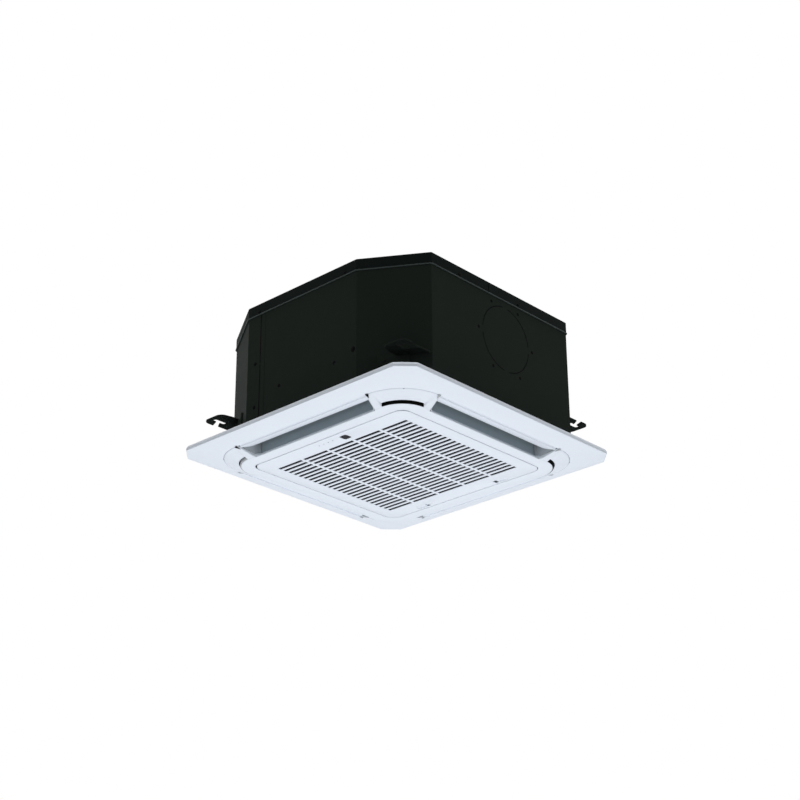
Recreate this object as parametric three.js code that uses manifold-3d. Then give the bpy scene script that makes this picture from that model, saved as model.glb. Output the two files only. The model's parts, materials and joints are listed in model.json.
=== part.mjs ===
// Compact four-way ceiling cassette air conditioner: a sheet-metal body that hangs above the ceiling, and a
// moulded panel that closes the ceiling opening from below. Millimetres, +Z up. The origin is the centre of
// the panel on the underside of the ceiling, so the panel's rim bears on the plane z = 0.
// The display side is -X, the latch side +X, the fresh-air knockout is on -Y.
import * as THREE from 'three';
import { mergeVertices } from 'three/addons/utils/BufferGeometryUtils.js';
import Module from 'manifold-3d';

const wasm = await Module();
wasm.setup();

const DEGREE = Math.PI / 180;
const QUARTER = Math.PI / 2;
const GAP = 0.3; // between pieces that touch

// Panel
const PANEL_HALF = 323.5;
const PANEL_CHAMFER = 31;
const RIM_HEIGHT = 10;
const RIM_WIDTH = 8;
const FACE_Z = -36; // flat middle of the panel, and the face of the grille
const SKIN = 2.5;
const CORNER_CENTRE = 187; // the panel's rounded steps share the corner centres (187, 187)
const OUTLET_OUTER = 282; // outer edge of the four outlets
const OUTLET_INNER = 241; // inner edge, and the edge of the flat middle
const OUTLET_HALF_LENGTH = 168; // at the inner edge
const OUTLET_END_SLANT = 13.5 / 41; // the outlets grow longer outwards
const DUCT_INNER = 233; // inner wall of the outlet duct above its lip
const LIP_TOP_Z = -21;
const COLLAR_TOP_Z = 14;
const DECK_Z = 4;
const DECK_TOP_Z = 6.5;
const SLOPE = 0.242; // fall of the outer ring towards the middle
const COVER_SLOPE = 0.327; // the corner covers fall faster, as the closed louvers do
const CORNER_STEPS = 5;
const VENT = { inner: 58.5, outer: 61.5, start: 4.5, end: 85.5 }; // curved air slot, about each corner centre

// Intake grille
const GRILLE_HALF = 212;
const GRILLE_SEAM = 1;
const GRILLE_SKIN = 2.5;
const SLOT_COLUMNS = 24;
const SLOT_ROWS = 5;
const SLOT_PITCH_X = 14.33;
const SLOT_PITCH_Y = 73.4;
const SLOT_WIDTH = 8;
const SLOT_LENGTH = 67.5;
const HINGE = { x: -195, z: -30.2, y: 150, pin: 1.6 };
const LATCH = { x: 201, y: 110 };

// Louvers
const LOUVER_PIVOT = { x: 277.5, z: -15.2 };
const LOUVER_OUTER = { x: 281, z: -20.4 };
const LOUVER_INNER = { x: 241.8, z: -35.7 };
const LOUVER_THICKNESS = 3;
const LOUVER_END_GAP = 2;
const LOUVER_OPEN = 46 * DEGREE; // from closed to the pose shown
const PIN_RADIUS = 1.9;

// Body
const BODY_HALF = 285;
const BODY_SIDE = 157; // half length of the walls that face -X and +X
const BODY_LEFT = 204; // where the front and rear walls end, towards -X
const BODY_RIGHT = 225; // and towards +X
const BODY_BOTTOM_Z = 25;
const BODY_TOP_Z = 285;
const SHEET = 1;
const LID_RIM = 27.5;
const SEAM_Y = 119; // where the two casing sheets meet on the side walls

// Air path inside the body
const PAN_TOP_Z = 78;
const TROUGH_FLOOR_Z = 48;
const COIL = { outer: 222, depth: 27, radius: 62, top: 268 };
const BELL = { throat: 112, mouth: 172, top: 86, wall: 2 };
const FAN = { inlet: 118, outer: 165, eye: 84, shroud: 106, back: 238, blades: 7 };
const MOTOR = { radius: 47, bottom: 205, top: 268 };
const SHAFT_RADIUS = 5;

const WHITE = { color: 0xe8edf6, roughness: 0.42 };
const SHADE_WHITE = { color: 0xb9c2c8, roughness: 0.5 };
const GREEN_BLACK = { color: 0x20241f, roughness: 0.5, metalness: 0.3 };
const FOAM = { color: 0x2c3032, roughness: 0.95 };
const FOAM_WHITE = { color: 0xdedede, roughness: 0.95 };
const DARK_PLASTIC = { color: 0x22262a, roughness: 0.55 };
const STEEL = { color: 0x9aa0a4, roughness: 0.35, metalness: 0.8 };
const ALUMINIUM = { color: 0xb4b9bd, roughness: 0.4, metalness: 0.8 };
const COPPER = { color: 0xb4683c, roughness: 0.3, metalness: 0.9 };
const BRASS = { color: 0xb99b4e, roughness: 0.3, metalness: 0.9 };
const BOARD = { color: 0x1f6b3c, roughness: 0.6 };
const RUBBER = { color: 0x18191a, roughness: 0.85 };
const SMOKED = { color: 0x15161a, roughness: 0.12 };
const FILTER_MESH = { color: 0x1f2530, roughness: 0.8 };

const SIDES = ['right', 'rear', 'left', 'front']; // each a quarter turn on from the one at +X
const CORNERS = ['rear_right', 'rear_left', 'front_left', 'front_right'];

// ---------- outlines ----------

const point = (x, y) => new THREE.Vector2(x, y);

/** Points of one corner, repeated by quarter turns into a closed anticlockwise outline. */
function fourfold(cornerPoints) {
  const centre = point(0, 0);
  return SIDES.flatMap((_, k) => cornerPoints.map((p) => p.clone().rotateAround(centre, k * QUARTER)));
}

function roundedSquare(half, radius) {
  const corner = [];
  for (let i = 0; i <= CORNER_STEPS; i++) {
    const angle = (QUARTER * i) / CORNER_STEPS;
    corner.push(point(half - radius + radius * Math.cos(angle), half - radius + radius * Math.sin(angle)));
  }
  return fourfold(corner);
}

/** A step line of the panel: a square whose rounded corners turn about the shared corner centres. */
const stepLine = (half) => roundedSquare(half, half - CORNER_CENTRE);

/** The panel's rim line, with as many points as a step line so that the two can be lofted. */
function rimLine(inset) {
  const half = PANEL_HALF - inset;
  const chamfer = PANEL_CHAMFER - inset * (2 - Math.SQRT2);
  const corner = [];
  for (let i = 0; i <= CORNER_STEPS; i++) {
    const along = (chamfer * i) / CORNER_STEPS;
    corner.push(point(half - along, half - chamfer + along));
  }
  return fourfold(corner);
}

const stepZ = (half) => -RIM_HEIGHT - (PANEL_HALF - half) * SLOPE;

/** Rounds the corners of a polygon; a radius of 0 keeps the corner. */
function roundedPolygon(corners, radii, steps = 3) {
  return corners.flatMap((corner, i) => {
    const radius = radii[i];
    if (radius === 0) return [corner.clone()];
    const before = corners[(i + corners.length - 1) % corners.length].clone().sub(corner).normalize();
    const after = corners[(i + 1) % corners.length].clone().sub(corner).normalize();
    const half = Math.acos(THREE.MathUtils.clamp(before.dot(after), -1, 1)) / 2;
    const middle = before.clone().add(after).normalize();
    const centre = corner.clone().addScaledVector(middle, radius / Math.sin(half));
    const start = corner.clone().addScaledVector(before, radius / Math.tan(half)).sub(centre);
    const turn = Math.sign(after.cross(before)) * (Math.PI - 2 * half);
    const arc = [];
    for (let s = 0; s <= steps; s++) {
      arc.push(start.clone().rotateAround(point(0, 0), (turn * s) / steps).add(centre));
    }
    return arc;
  });
}

/** Moves every edge of a convex anticlockwise polygon inwards. */
function insetPolygon(corners, distance) {
  return corners.map((corner, i) => {
    const before = corners[(i + corners.length - 1) % corners.length];
    const after = corners[(i + 1) % corners.length];
    const a = corner.clone().sub(before).normalize();
    const b = after.clone().sub(corner).normalize();
    const normalA = point(-a.y, a.x);
    const normalB = point(-b.y, b.x);
    const shift = distance / (1 + normalA.dot(normalB));
    return corner.clone().addScaledVector(normalA, shift).addScaledVector(normalB, shift);
  });
}

/** Octagonal outline of the body; its corners are not cut at 45 degrees. */
function bodyOutline(inset) {
  const corners = [
    point(BODY_HALF, -BODY_SIDE),
    point(BODY_HALF, BODY_SIDE),
    point(BODY_RIGHT, BODY_HALF),
    point(-BODY_LEFT, BODY_HALF),
    point(-BODY_HALF, BODY_SIDE),
    point(-BODY_HALF, -BODY_SIDE),
    point(-BODY_LEFT, -BODY_HALF),
    point(BODY_RIGHT, -BODY_HALF),
  ];
  return insetPolygon(corners, inset);
}

const rectangle = (x0, y0, x1, y1) => [point(x0, y0), point(x1, y0), point(x1, y1), point(x0, y1)];

function circle(radius, x = 0, y = 0, sides = 24) {
  const points = [];
  for (let i = 0; i < sides; i++) {
    const angle = (2 * Math.PI * i) / sides;
    points.push(point(x + radius * Math.cos(angle), y + radius * Math.sin(angle)));
  }
  return points;
}

// ---------- solids ----------

/** A flat piece: an outline with holes, from one height to another. */
function slab(outline, low, high, holes = []) {
  const shape = new THREE.Shape(outline);
  shape.holes = holes.map((hole) => new THREE.Path(hole));
  const geometry = new THREE.ExtrudeGeometry(shape, { depth: high - low, bevelEnabled: false });
  return geometry.translate(0, 0, low);
}

/** A section drawn in X and Z, drawn out along Y. */
function bar(section, y0, y1) {
  const geometry = new THREE.ExtrudeGeometry(new THREE.Shape(section), { depth: y1 - y0, bevelEnabled: false });
  return geometry.rotateX(QUARTER).translate(0, y1, 0);
}

/** A section drawn in Y and Z, drawn out along X. */
const barAlongX = (section, x0, x1) => bar(section, -x1, -x0).rotateZ(QUARTER);

const box = (x0, x1, y0, y1, z0, z1) => slab(rectangle(x0, y0, x1, y1), z0, z1);

/** A closed body through a stack of outlines that have equally many points, lowest first. */
function loft(levels) {
  const count = levels[0].outline.length;
  const positions = levels.flatMap(({ outline, z }) => outline.flatMap((p) => [p.x, p.y, z]));
  const index = [];
  for (let level = 0; level < levels.length - 1; level++) {
    for (let i = 0; i < count; i++) {
      const a = level * count + i;
      const b = level * count + ((i + 1) % count);
      index.push(a, b, b + count, a, b + count, a + count);
    }
  }
  const top = (levels.length - 1) * count;
  THREE.ShapeUtils.triangulateShape(levels[0].outline, []).forEach(([a, b, c]) => index.push(a, c, b));
  THREE.ShapeUtils.triangulateShape(levels.at(-1).outline, []).forEach(([a, b, c]) => {
    index.push(top + a, top + b, top + c);
  });
  const geometry = new THREE.BufferGeometry();
  geometry.setAttribute('position', new THREE.Float32BufferAttribute(positions, 3));
  geometry.setIndex(index);
  return geometry;
}

/** A turned piece about the vertical axis; the profile is a list of [radius, z] and closes on itself. */
function turned(profile, sides = 24) {
  const points = profile.map(([radius, z]) => point(radius, z));
  if (profile[0][0] !== 0) points.push(points[0].clone());
  return new THREE.LatheGeometry(points, sides).rotateX(QUARTER);
}

/** A round bar along Y. */
function roundBar(radius, x, z, y0, y1, sides = 10) {
  return new THREE.CylinderGeometry(radius, radius, y1 - y0, sides).translate(x, (y0 + y1) / 2, z);
}

/** A round bar along Z. */
const post = (radius, x, y, z0, z1, sides = 16) => slab(circle(radius, x, y, sides), z0, z1);

function tube(points, radius, sides = 8) {
  const path = new THREE.CatmullRomCurve3(points.map((p) => new THREE.Vector3(...p)), false, 'centripetal');
  return new THREE.ExtrudeGeometry(new THREE.Shape(circle(radius, 0, 0, sides)), {
    steps: points.length * 2,
    extrudePath: path,
    bevelEnabled: false,
  });
}

function asSolid(shape) {
  if (!shape.isBufferGeometry) return shape;
  const bare = new THREE.BufferGeometry().setAttribute('position', shape.getAttribute('position').clone());
  if (shape.index) bare.setIndex(shape.index.clone());
  const merged = mergeVertices(bare, 1e-4);
  return new wasm.Manifold(
    new wasm.Mesh({
      numProp: 3,
      vertProperties: merged.attributes.position.array,
      triVerts: new Uint32Array(merged.index.array),
    }),
  );
}

const join = (...shapes) => shapes.map(asSolid).reduce((sum, shape) => sum.add(shape));
const cut = (body, ...tools) => tools.map(asSolid).reduce((rest, tool) => rest.subtract(tool), asSolid(body));
const overlap = (a, b) => asSolid(a).intersect(asSolid(b));

function asGeometry(shape) {
  if (shape.isBufferGeometry) return shape;
  const mesh = shape.getMesh();
  const geometry = new THREE.BufferGeometry();
  geometry.setAttribute('position', new THREE.BufferAttribute(mesh.vertProperties, 3));
  geometry.setIndex(new THREE.BufferAttribute(mesh.triVerts, 1));
  geometry.computeVertexNormals();
  return geometry;
}

/** The same shape on each of the four sides, as one list. */
const onFourSides = (make) => SIDES.map((_, k) => make().rotateZ(k * QUARTER));

function piece(name, shape, finish) {
  const mesh = new THREE.Mesh(asGeometry(shape), new THREE.MeshStandardMaterial(finish));
  mesh.name = name;
  return mesh;
}

// ---------- panel ----------

const outletHalfLength = (x) => OUTLET_HALF_LENGTH + (x - OUTLET_INNER) * OUTLET_END_SLANT;

/** Plan of the outlet at +X: longer at its outer edge, with well rounded inner corners. */
function outletPlan(inner, grow = 0, outer = OUTLET_OUTER) {
  const x0 = inner - grow;
  const x1 = outer + grow;
  const endGrow = grow * 1.05;
  const corners = [
    point(x0, -outletHalfLength(x0) - endGrow),
    point(x1, -outletHalfLength(x1) - endGrow),
    point(x1, outletHalfLength(x1) + endGrow),
    point(x0, outletHalfLength(x0) + endGrow),
  ];
  return roundedPolygon(corners, [14, 2, 2, 14]);
}

/** The air passage of the outlet at +X, flared at its inner lip. */
const outletPassage = () =>
  loft([
    { outline: outletPlan(OUTLET_INNER), z: FACE_Z - 1 },
    { outline: outletPlan(OUTLET_INNER), z: FACE_Z },
    { outline: outletPlan(DUCT_INNER), z: LIP_TOP_Z },
    { outline: outletPlan(DUCT_INNER), z: COLLAR_TOP_Z + 20 },
  ]);

/** Everything above the surface of the corner covers, raised by a height. */
function aboveCovers(raise) {
  const height = (half) => stepZ(OUTLET_OUTER) - (OUTLET_OUTER - half) * COVER_SLOPE + raise;
  return loft([
    { outline: stepLine(238), z: height(238) },
    { outline: stepLine(286), z: height(286) },
    { outline: stepLine(286), z: COLLAR_TOP_Z + 20 },
  ]);
}

/** Everything above the sloping underside of the outer ring, raised by a height. */
const aboveSlope = (raise) =>
  loft([
    { outline: stepLine(236), z: stepZ(236) + raise },
    { outline: stepLine(290), z: stepZ(290) + raise },
    { outline: stepLine(290), z: COLLAR_TOP_Z + 20 },
  ]);

function outerRing() {
  const block = loft([
    { outline: stepLine(OUTLET_OUTER), z: stepZ(OUTLET_OUTER) },
    { outline: rimLine(0), z: -RIM_HEIGHT },
    { outline: rimLine(0), z: -RIM_HEIGHT / 2 },
    { outline: rimLine(1.6), z: 0 },
  ]);
  const hollow = loft([
    { outline: stepLine(OUTLET_OUTER + SKIN), z: stepZ(OUTLET_OUTER + SKIN) + SKIN },
    { outline: rimLine(RIM_WIDTH), z: stepZ(PANEL_HALF - RIM_WIDTH) + SKIN },
    { outline: rimLine(RIM_WIDTH), z: 1 },
  ]);
  return cut(block, hollow, slab(stepLine(OUTLET_OUTER), FACE_Z, 1));
}

/** The grille's outline, with its own radius at the two hinge corners, which swing past the opening's edge. */
function grilleOutline(half, hingeRadius, latchRadius) {
  const radii = [hingeRadius, latchRadius, latchRadius, hingeRadius];
  return roundedPolygon(rectangle(-half, -half, half, half), radii, CORNER_STEPS);
}

/** Holds one pin of the grille: an eye at the end of an arm from the intake collar. */
function hingeLug(side) {
  const y = side * HINGE.y;
  const eye = roundBar(HINGE.pin + 1.3, HINGE.x, HINGE.z, y - 2, y + 2, 12);
  const arm = box(HINGE.x - 1.2, HINGE.x + 4, y - 2, y + 2, HINGE.z, DECK_Z);
  const web = box(-232, HINGE.x + 1, y - 2, y + 2, -10, DECK_Z);
  return cut(join(eye, arm, web), roundBar(HINGE.pin + GAP, HINGE.x, HINGE.z, y - 3, y + 3, 12));
}

function panelFrame() {
  const wall = (half, low, high) => slab(stepLine(half + SKIN), low, high, [stepLine(half)]);
  const intake = grilleOutline(GRILLE_HALF + GRILLE_SEAM, 19, 22);
  const intakeCollar = roundedSquare(218, 25);
  const flat = slab(stepLine(OUTLET_INNER), FACE_Z, FACE_Z + 1.8, [intake]);
  const shelves = onFourSides(() => post(VENT.inner, CORNER_CENTRE, CORNER_CENTRE, FACE_Z, FACE_Z + 1.8, 28))
    .map((disc) => cut(disc, slab(roundedSquare(CORNER_CENTRE + 40, 40), FACE_Z - 1, 0)));
  const collar = slab(roundedSquare(220.5, 27.5), FACE_Z + 1, DECK_Z, [intakeCollar]);
  const deck = slab(stepLine(OUTLET_OUTER + SKIN), DECK_Z, DECK_TOP_Z, [stepLine(DUCT_INNER - SKIN)]);
  const ribs = [-110, 0, 110].flatMap((y) => onFourSides(() => box(219, 231.5, y - 1, y + 1, FACE_Z + 1, 0)));
  const room = join(aboveSlope(SKIN + 2 * GAP), slab(stepLine(OUTLET_INNER), FACE_Z, DECK_TOP_Z));
  const ducts = onFourSides(() => slab(outletPlan(DUCT_INNER, SKIN), FACE_Z, COLLAR_TOP_Z))
    .map((duct) => overlap(duct, room));
  const motorPlates = onFourSides(() => box(259, 284, 183.2, 186.7, -14, DECK_TOP_Z));
  const bushPlates = onFourSides(() => box(268, 284, -184.7, -183, -14, DECK_TOP_Z));
  const pinNotches = onFourSides(() => box(275, 280, -192, 192, FACE_Z, LOUVER_PIVOT.z + 2.5));
  const whole = join(
    outerRing(),
    wall(OUTLET_OUTER, -15, DECK_TOP_Z),
    wall(230.5, FACE_Z + 1, DECK_TOP_Z),
    flat,
    ...shelves,
    collar,
    deck,
    ...ducts,
    ...ribs,
    ...motorPlates,
    ...bushPlates,
    hingeLug(1),
    hingeLug(-1),
  );
  const screwHoles = onFourSides(() => post(4.5, 222, 222, 0, 10, 12));
  return cut(whole, ...onFourSides(outletPassage), ...pinNotches, ...screwHoles);
}

/** Clip inside the intake collar that the latch's tongue slides over. */
function latchCatch(side) {
  const y = side * (LATCH.y + 27);
  const foot = 218 - GAP;
  return join(
    box(LATCH.x + 1, foot, y - 5, y + 5, -31.5, -29.3),
    box(foot - 1.6, foot, y - 5, y + 5, -31.5, -20),
  );
}

/** The removable cover of the corner at (+X, +Y), with the curved air slot along its inner edge. */
function cornerCover() {
  const skin = cut(aboveCovers(0), aboveCovers(SKIN));
  const plan = slab(stepLine(OUTLET_OUTER - GAP), FACE_Z, 0);
  const quadrant = box(150, 300, 150, 300, FACE_Z, 0);
  const middle = slab(stepLine(OUTLET_INNER + GAP), FACE_Z - 1, 1);
  const shelf = post(VENT.inner + GAP, CORNER_CENTRE, CORNER_CENTRE, FACE_Z - 1, 1, 28);
  const slot = [point(CORNER_CENTRE, CORNER_CENTRE)];
  const slotSteps = 8;
  for (let i = 0; i <= slotSteps; i++) {
    const angle = (VENT.start + ((VENT.end - VENT.start) * i) / slotSteps) * DEGREE;
    slot.push(point(CORNER_CENTRE + VENT.outer * Math.cos(angle), CORNER_CENTRE + VENT.outer * Math.sin(angle)));
  }
  const ends = [0, 1].map((k) => slab(outletPlan(225, 0, 300), FACE_Z - 1, 1).rotateZ(k * QUARTER));
  const prise = box(-5, 5, -2.4, 3, FACE_Z, 0).rotateZ(-45 * DEGREE);
  const reach = CORNER_CENTRE + (OUTLET_OUTER - CORNER_CENTRE) * Math.SQRT1_2;
  const blank = overlap(overlap(skin, plan), quadrant);
  return cut(blank, middle, shelf, slab(slot, FACE_Z - 1, 1), ...ends, prise.translate(reach, reach, 0));
}

function panelSeal() {
  const openings = onFourSides(() => slab(outletPlan(DUCT_INNER, 0.5), 0, 40));
  const sheet = slab(stepLine(284.5), COLLAR_TOP_Z + GAP, BODY_BOTTOM_Z - GAP, [roundedSquare(222, 29)]);
  return cut(sheet, ...openings);
}

/** A louver in its closed pose, about its own pivot line, for the outlet at +X. */
function louver() {
  const fall = point(LOUVER_INNER.x - LOUVER_OUTER.x, LOUVER_INNER.z - LOUVER_OUTER.z).normalize();
  const up = point(fall.y, -fall.x);
  const outer = point(LOUVER_OUTER.x, LOUVER_OUTER.z);
  const inner = point(LOUVER_INNER.x, LOUVER_INNER.z);
  const bead = 3.2;
  const section = [outer];
  for (let i = 0; i <= 5; i++) {
    const angle = 30 * i * DEGREE;
    section.push(point(LOUVER_PIVOT.x + bead * Math.cos(angle), LOUVER_PIVOT.z + bead * Math.sin(angle)));
  }
  section.push(
    outer.clone().addScaledVector(fall, 10).addScaledVector(up, LOUVER_THICKNESS),
    inner.clone().addScaledVector(up, LOUVER_THICKNESS - 0.6),
    inner.clone().addScaledVector(fall, -0.2),
  );
  const reach = outletHalfLength(OUTLET_OUTER);
  const edge = OUTLET_OUTER + 2;
  const shortHalf = outletHalfLength(OUTLET_INNER) - LOUVER_END_GAP;
  const longHalf = outletHalfLength(edge) - LOUVER_END_GAP;
  const corners = [
    point(OUTLET_INNER, -shortHalf), point(edge, -longHalf), point(edge, longHalf), point(OUTLET_INNER, shortHalf),
  ];
  const plan = slab(roundedPolygon(corners, [13, 0, 0, 13]), -60, 20);
  const blade = overlap(bar(section.reverse(), -reach, reach), plan);
  const pins = roundBar(PIN_RADIUS, LOUVER_PIVOT.x, LOUVER_PIVOT.z, -189.5, 186.6);
  const moved = asGeometry(join(blade, pins));
  return moved.translate(-LOUVER_PIVOT.x, 0, -LOUVER_PIVOT.z);
}

/** Geared stepping motor with its shaft off the middle of the can, behind the corner cover. */
function louverMotor() {
  const can = { x: LOUVER_PIVOT.x - 5.6, z: LOUVER_PIVOT.z + 5.3, radius: 8 };
  const face = 187.3;
  return join(
    roundBar(can.radius, can.x, can.z, face, face + 12, 16),
    roundBar(PIN_RADIUS, LOUVER_PIVOT.x, LOUVER_PIVOT.z, face - 0.4, face + 1),
    box(can.x - 13, can.x, face, face + 1.2, can.z - 4, can.z + 4),
  );
}

function louverBush() {
  const block = overlap(box(273.2, 281.1, -190.5, -185, -20, -9), aboveSlope(SKIN + 2 * GAP));
  return cut(block, roundBar(PIN_RADIUS + GAP, LOUVER_PIVOT.x, LOUVER_PIVOT.z, -195, -180));
}

// ---------- intake grille ----------

function grilleSlots() {
  const slots = [];
  for (let column = 0; column < SLOT_COLUMNS; column++) {
    for (let row = 0; row < SLOT_ROWS; row++) {
      const x = (column - (SLOT_COLUMNS - 1) / 2) * SLOT_PITCH_X;
      const y = (row - (SLOT_ROWS - 1) / 2) * SLOT_PITCH_Y;
      slots.push(
        box(x - SLOT_WIDTH / 2, x + SLOT_WIDTH / 2, y - SLOT_LENGTH / 2, y + SLOT_LENGTH / 2, FACE_Z - 1, FACE_Z + 4),
      );
    }
  }
  return slots;
}

function intakeGrille() {
  const top = FACE_Z + GRILLE_SKIN;
  const latchSlots = [1, -1].map((side) => {
    const y = side * LATCH.y;
    return box(LATCH.x - 6, LATCH.x + 6, y - 17, y + 17, FACE_Z - 1, top + 1);
  });
  const window = box(-199.5, -180.5, -45.5, -26.5, FACE_Z - 1, top + 1);
  const plate = slab(grilleOutline(GRILLE_HALF, 23, 21), FACE_Z, top);
  const face = cut(plate, ...grilleSlots(), ...latchSlots, window);
  const skirt = slab(grilleOutline(GRILLE_HALF, 23, 21), top - 0.5, top + 8, [grilleOutline(GRILLE_HALF - 2, 21, 19)]);
  const lugNotches = [1, -1].map((side) => {
    const y = side * HINGE.y;
    return box(-215, -208, y - 8, y + 8, top + 0.2, 0);
  });
  const catchNotches = [1, -1].map((side) => {
    const y = side * (LATCH.y + 19);
    return box(208, 215, y - 16, y + 16, top + 0.2, 0);
  });
  const ears = [1, -1].map((side) => {
    const y = side * (HINGE.y + 4.5);
    const ear = bar(
      [point(HINGE.x - 4, top - 0.5), point(HINGE.x + 6, top - 0.5), point(HINGE.x + 3, HINGE.z + 2.8), point(HINGE.x - 3, HINGE.z + 2.8)],
      y - 1.5,
      y + 1.5,
    );
    const inwards = side * HINGE.y - side * 3.5;
    const pin = roundBar(HINGE.pin, HINGE.x, HINGE.z, Math.min(inwards, y), Math.max(inwards, y));
    return join(ear, pin);
  });
  return join(cut(join(face, skirt), ...lugNotches, ...catchNotches), ...ears);
}

function airFilter() {
  const low = FACE_Z + GRILLE_SKIN + GAP;
  const outer = rectangle(-170, -187, 188, 187);
  const frame = slab(outer, low, low + 5, [rectangle(-163, -180, 181, 180)]);
  const mesh = slab(rectangle(-165, -182, 183, 182), low + 1.5, low + 2.5);
  const ribs = [-1, 0, 1].map((i) => box(9 + i * 86 - 1.5, 9 + i * 86 + 1.5, -181, 181, low, low + 5));
  return join(frame, mesh, ...ribs);
}

function displayBox() {
  const low = FACE_Z + GRILLE_SKIN + GAP;
  return cut(
    slab(roundedPolygon(rectangle(-207, -58, -173, 130), [3, 3, 3, 3], 2), low, low + 9),
    box(-200.5, -179.5, -46.5, -25.5, low - 1, low + 1.4),
  );
}

function receiverWindow() {
  return slab(roundedPolygon(rectangle(-199.2, -45.2, -180.8, -26.8), [4, 4, 4, 4], 3), FACE_Z + 0.4, FACE_Z + 2.9);
}

/** Sliding latch: a thumb pad in its slot, a plate behind the face, and a tongue towards the catch. */
function latch(side) {
  const low = FACE_Z + GRILLE_SKIN;
  const along = (from, to, x0, x1, z0, z1) =>
    box(x0, x1, Math.min(side * from, side * to), Math.max(side * from, side * to), z0, z1);
  return join(
    along(LATCH.y - 8.5, LATCH.y + 16.5, LATCH.x - 5.5, LATCH.x + 5.5, FACE_Z + 0.6, low + 1),
    along(LATCH.y - 12, LATCH.y + 20, LATCH.x - 8.5, LATCH.x + 6.5, low + GAP, low + 2.3),
    along(LATCH.y + 14, LATCH.y + 20, LATCH.x - 4, LATCH.x + 5, low + 2, -26.5),
    along(LATCH.y + 14, LATCH.y + 21.5, LATCH.x - 4, LATCH.x + 5, -29, -26.5),
  );
}

// ---------- sheet-metal body ----------

function topCover() {
  const plateTop = BODY_TOP_Z - SHEET;
  const plate = slab(bodyOutline(0), plateTop - SHEET, plateTop);
  const foot = BODY_TOP_Z - LID_RIM;
  const rim = slab(bodyOutline(0), foot, plateTop - SHEET / 2, [bodyOutline(SHEET)]);
  const hem = slab(bodyOutline(-2), foot, foot + 2.5, [bodyOutline(SHEET)]);
  const outline = (inset) => roundedPolygon(bodyOutline(inset), Array(8).fill(18), 3);
  const pressing = loft([
    { outline: outline(44), z: plateTop - 0.5 },
    { outline: outline(47), z: BODY_TOP_Z },
  ]);
  const underside = loft([
    { outline: outline(45), z: plateTop - SHEET - 1 },
    { outline: outline(45), z: plateTop - SHEET },
    { outline: outline(48), z: BODY_TOP_Z - SHEET },
  ]);
  return cut(join(plate, pressing, rim, hem), underside);
}

function knockoutCuts() {
  const centre = { x: 21, z: 171.5 };
  const cuts = [];
  for (let i = 0; i < 4; i++) {
    const start = (i * 90 + 6) * DEGREE;
    const sweep = 78 * DEGREE;
    const arc = [];
    for (let s = 0; s <= 7; s++) {
      const angle = start + (sweep * s) / 7;
      arc.push(point(centre.x + 72.8 * Math.cos(angle), centre.z + 72.8 * Math.sin(angle)));
    }
    for (let s = 7; s >= 0; s--) {
      const angle = start + (sweep * s) / 7;
      arc.push(point(centre.x + 71.2 * Math.cos(angle), centre.z + 71.2 * Math.sin(angle)));
    }
    cuts.push(bar(arc, -290, -275));
  }
  for (let i = 0; i < 6; i++) {
    const angle = i * 60 * DEGREE;
    cuts.push(roundBar(2, centre.x + 84 * Math.cos(angle), centre.z + 84 * Math.sin(angle), -290, -275, 8));
  }
  return cuts;
}

/** A round hole through a side wall, along X. */
const sideHole = (y, z, radius, x0, x1, sides = 14) => roundBar(radius, y, z, -x1, -x0, sides).rotateZ(QUARTER);

const PIPES = { y: 70, gasZ: 230, liquidZ: 190, drainY: 8, drainZ: 215 };

const wallRing = () => {
  const wall = slab(bodyOutline(SHEET + GAP), BODY_BOTTOM_Z, BODY_TOP_Z - 2 * SHEET - GAP, [bodyOutline(2 * SHEET + GAP)]);
  const foot = slab(bodyOutline(SHEET + GAP), BODY_BOTTOM_Z, BODY_BOTTOM_Z + SHEET, [bodyOutline(9)]);
  return join(wall, foot);
};

function casing(front) {
  const reach = 320;
  const side = front ? -reach : reach;
  const seam = 0.4;
  const dy = front ? -seam : seam;
  const corners = [point(-reach, SEAM_Y + dy), point(-reach, side), point(reach, side), point(reach, -SEAM_Y + dy)];
  const keep = slab(corners, 0, 300);
  const half = overlap(wallRing(), keep);
  if (front) {
    return cut(
      half,
      ...knockoutCuts(),
      sideHole(-148, 88, 5, -290, -280),
      sideHole(-96, 76, 3.5, -290, -280),
      sideHole(61, 77, 3.5, -290, -280),
    );
  }
  return cut(
    half,
    box(280, 290, PIPES.y - 20, PIPES.y + 20, PIPES.liquidZ - 18, PIPES.gasZ + 20),
    sideHole(PIPES.drainY, PIPES.drainZ, 13.2, 280, 290, 20),
    sideHole(-60, 120, 9, 280, 290, 16),
  );
}

/** Hook-shaped hanger bracket on one corner; the rod enters its slot from the side. */
function hangerBracket(signX, signY) {
  const plateZ = 65;
  const thickness = 3;
  const hook = [
    point(200, 224), point(253, 226), point(272, 229), point(284, 236), point(288, 248), point(288, 266),
    point(283, 276), point(273, 283), point(261.5, 284), point(268, 267), point(277, 267), point(278, 261),
    point(276.5, 256), point(250, 256), point(247, 261), point(249, 267), point(258, 267.5), point(250, 281),
    point(200, 281),
  ];
  const mirrored = (points) => {
    const placed = points.map((p) => point(signX * p.x, signY * p.y));
    return signX * signY > 0 ? placed : placed.reverse();
  };
  const plate = slab(mirrored(hook), plateZ - thickness / 2, plateZ + thickness / 2);
  const flangeZone = slab(mirrored(rectangle(180, 224, 300, 281)), plateZ - 24, plateZ + thickness / 2);
  const band = slab(bodyOutline(SHEET - 2.5), 0, 100, [bodyOutline(SHEET)]);
  const flange = overlap(flangeZone, band);
  return cut(join(plate, flange), slab(bodyOutline(SHEET), 0, 100));
}

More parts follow.
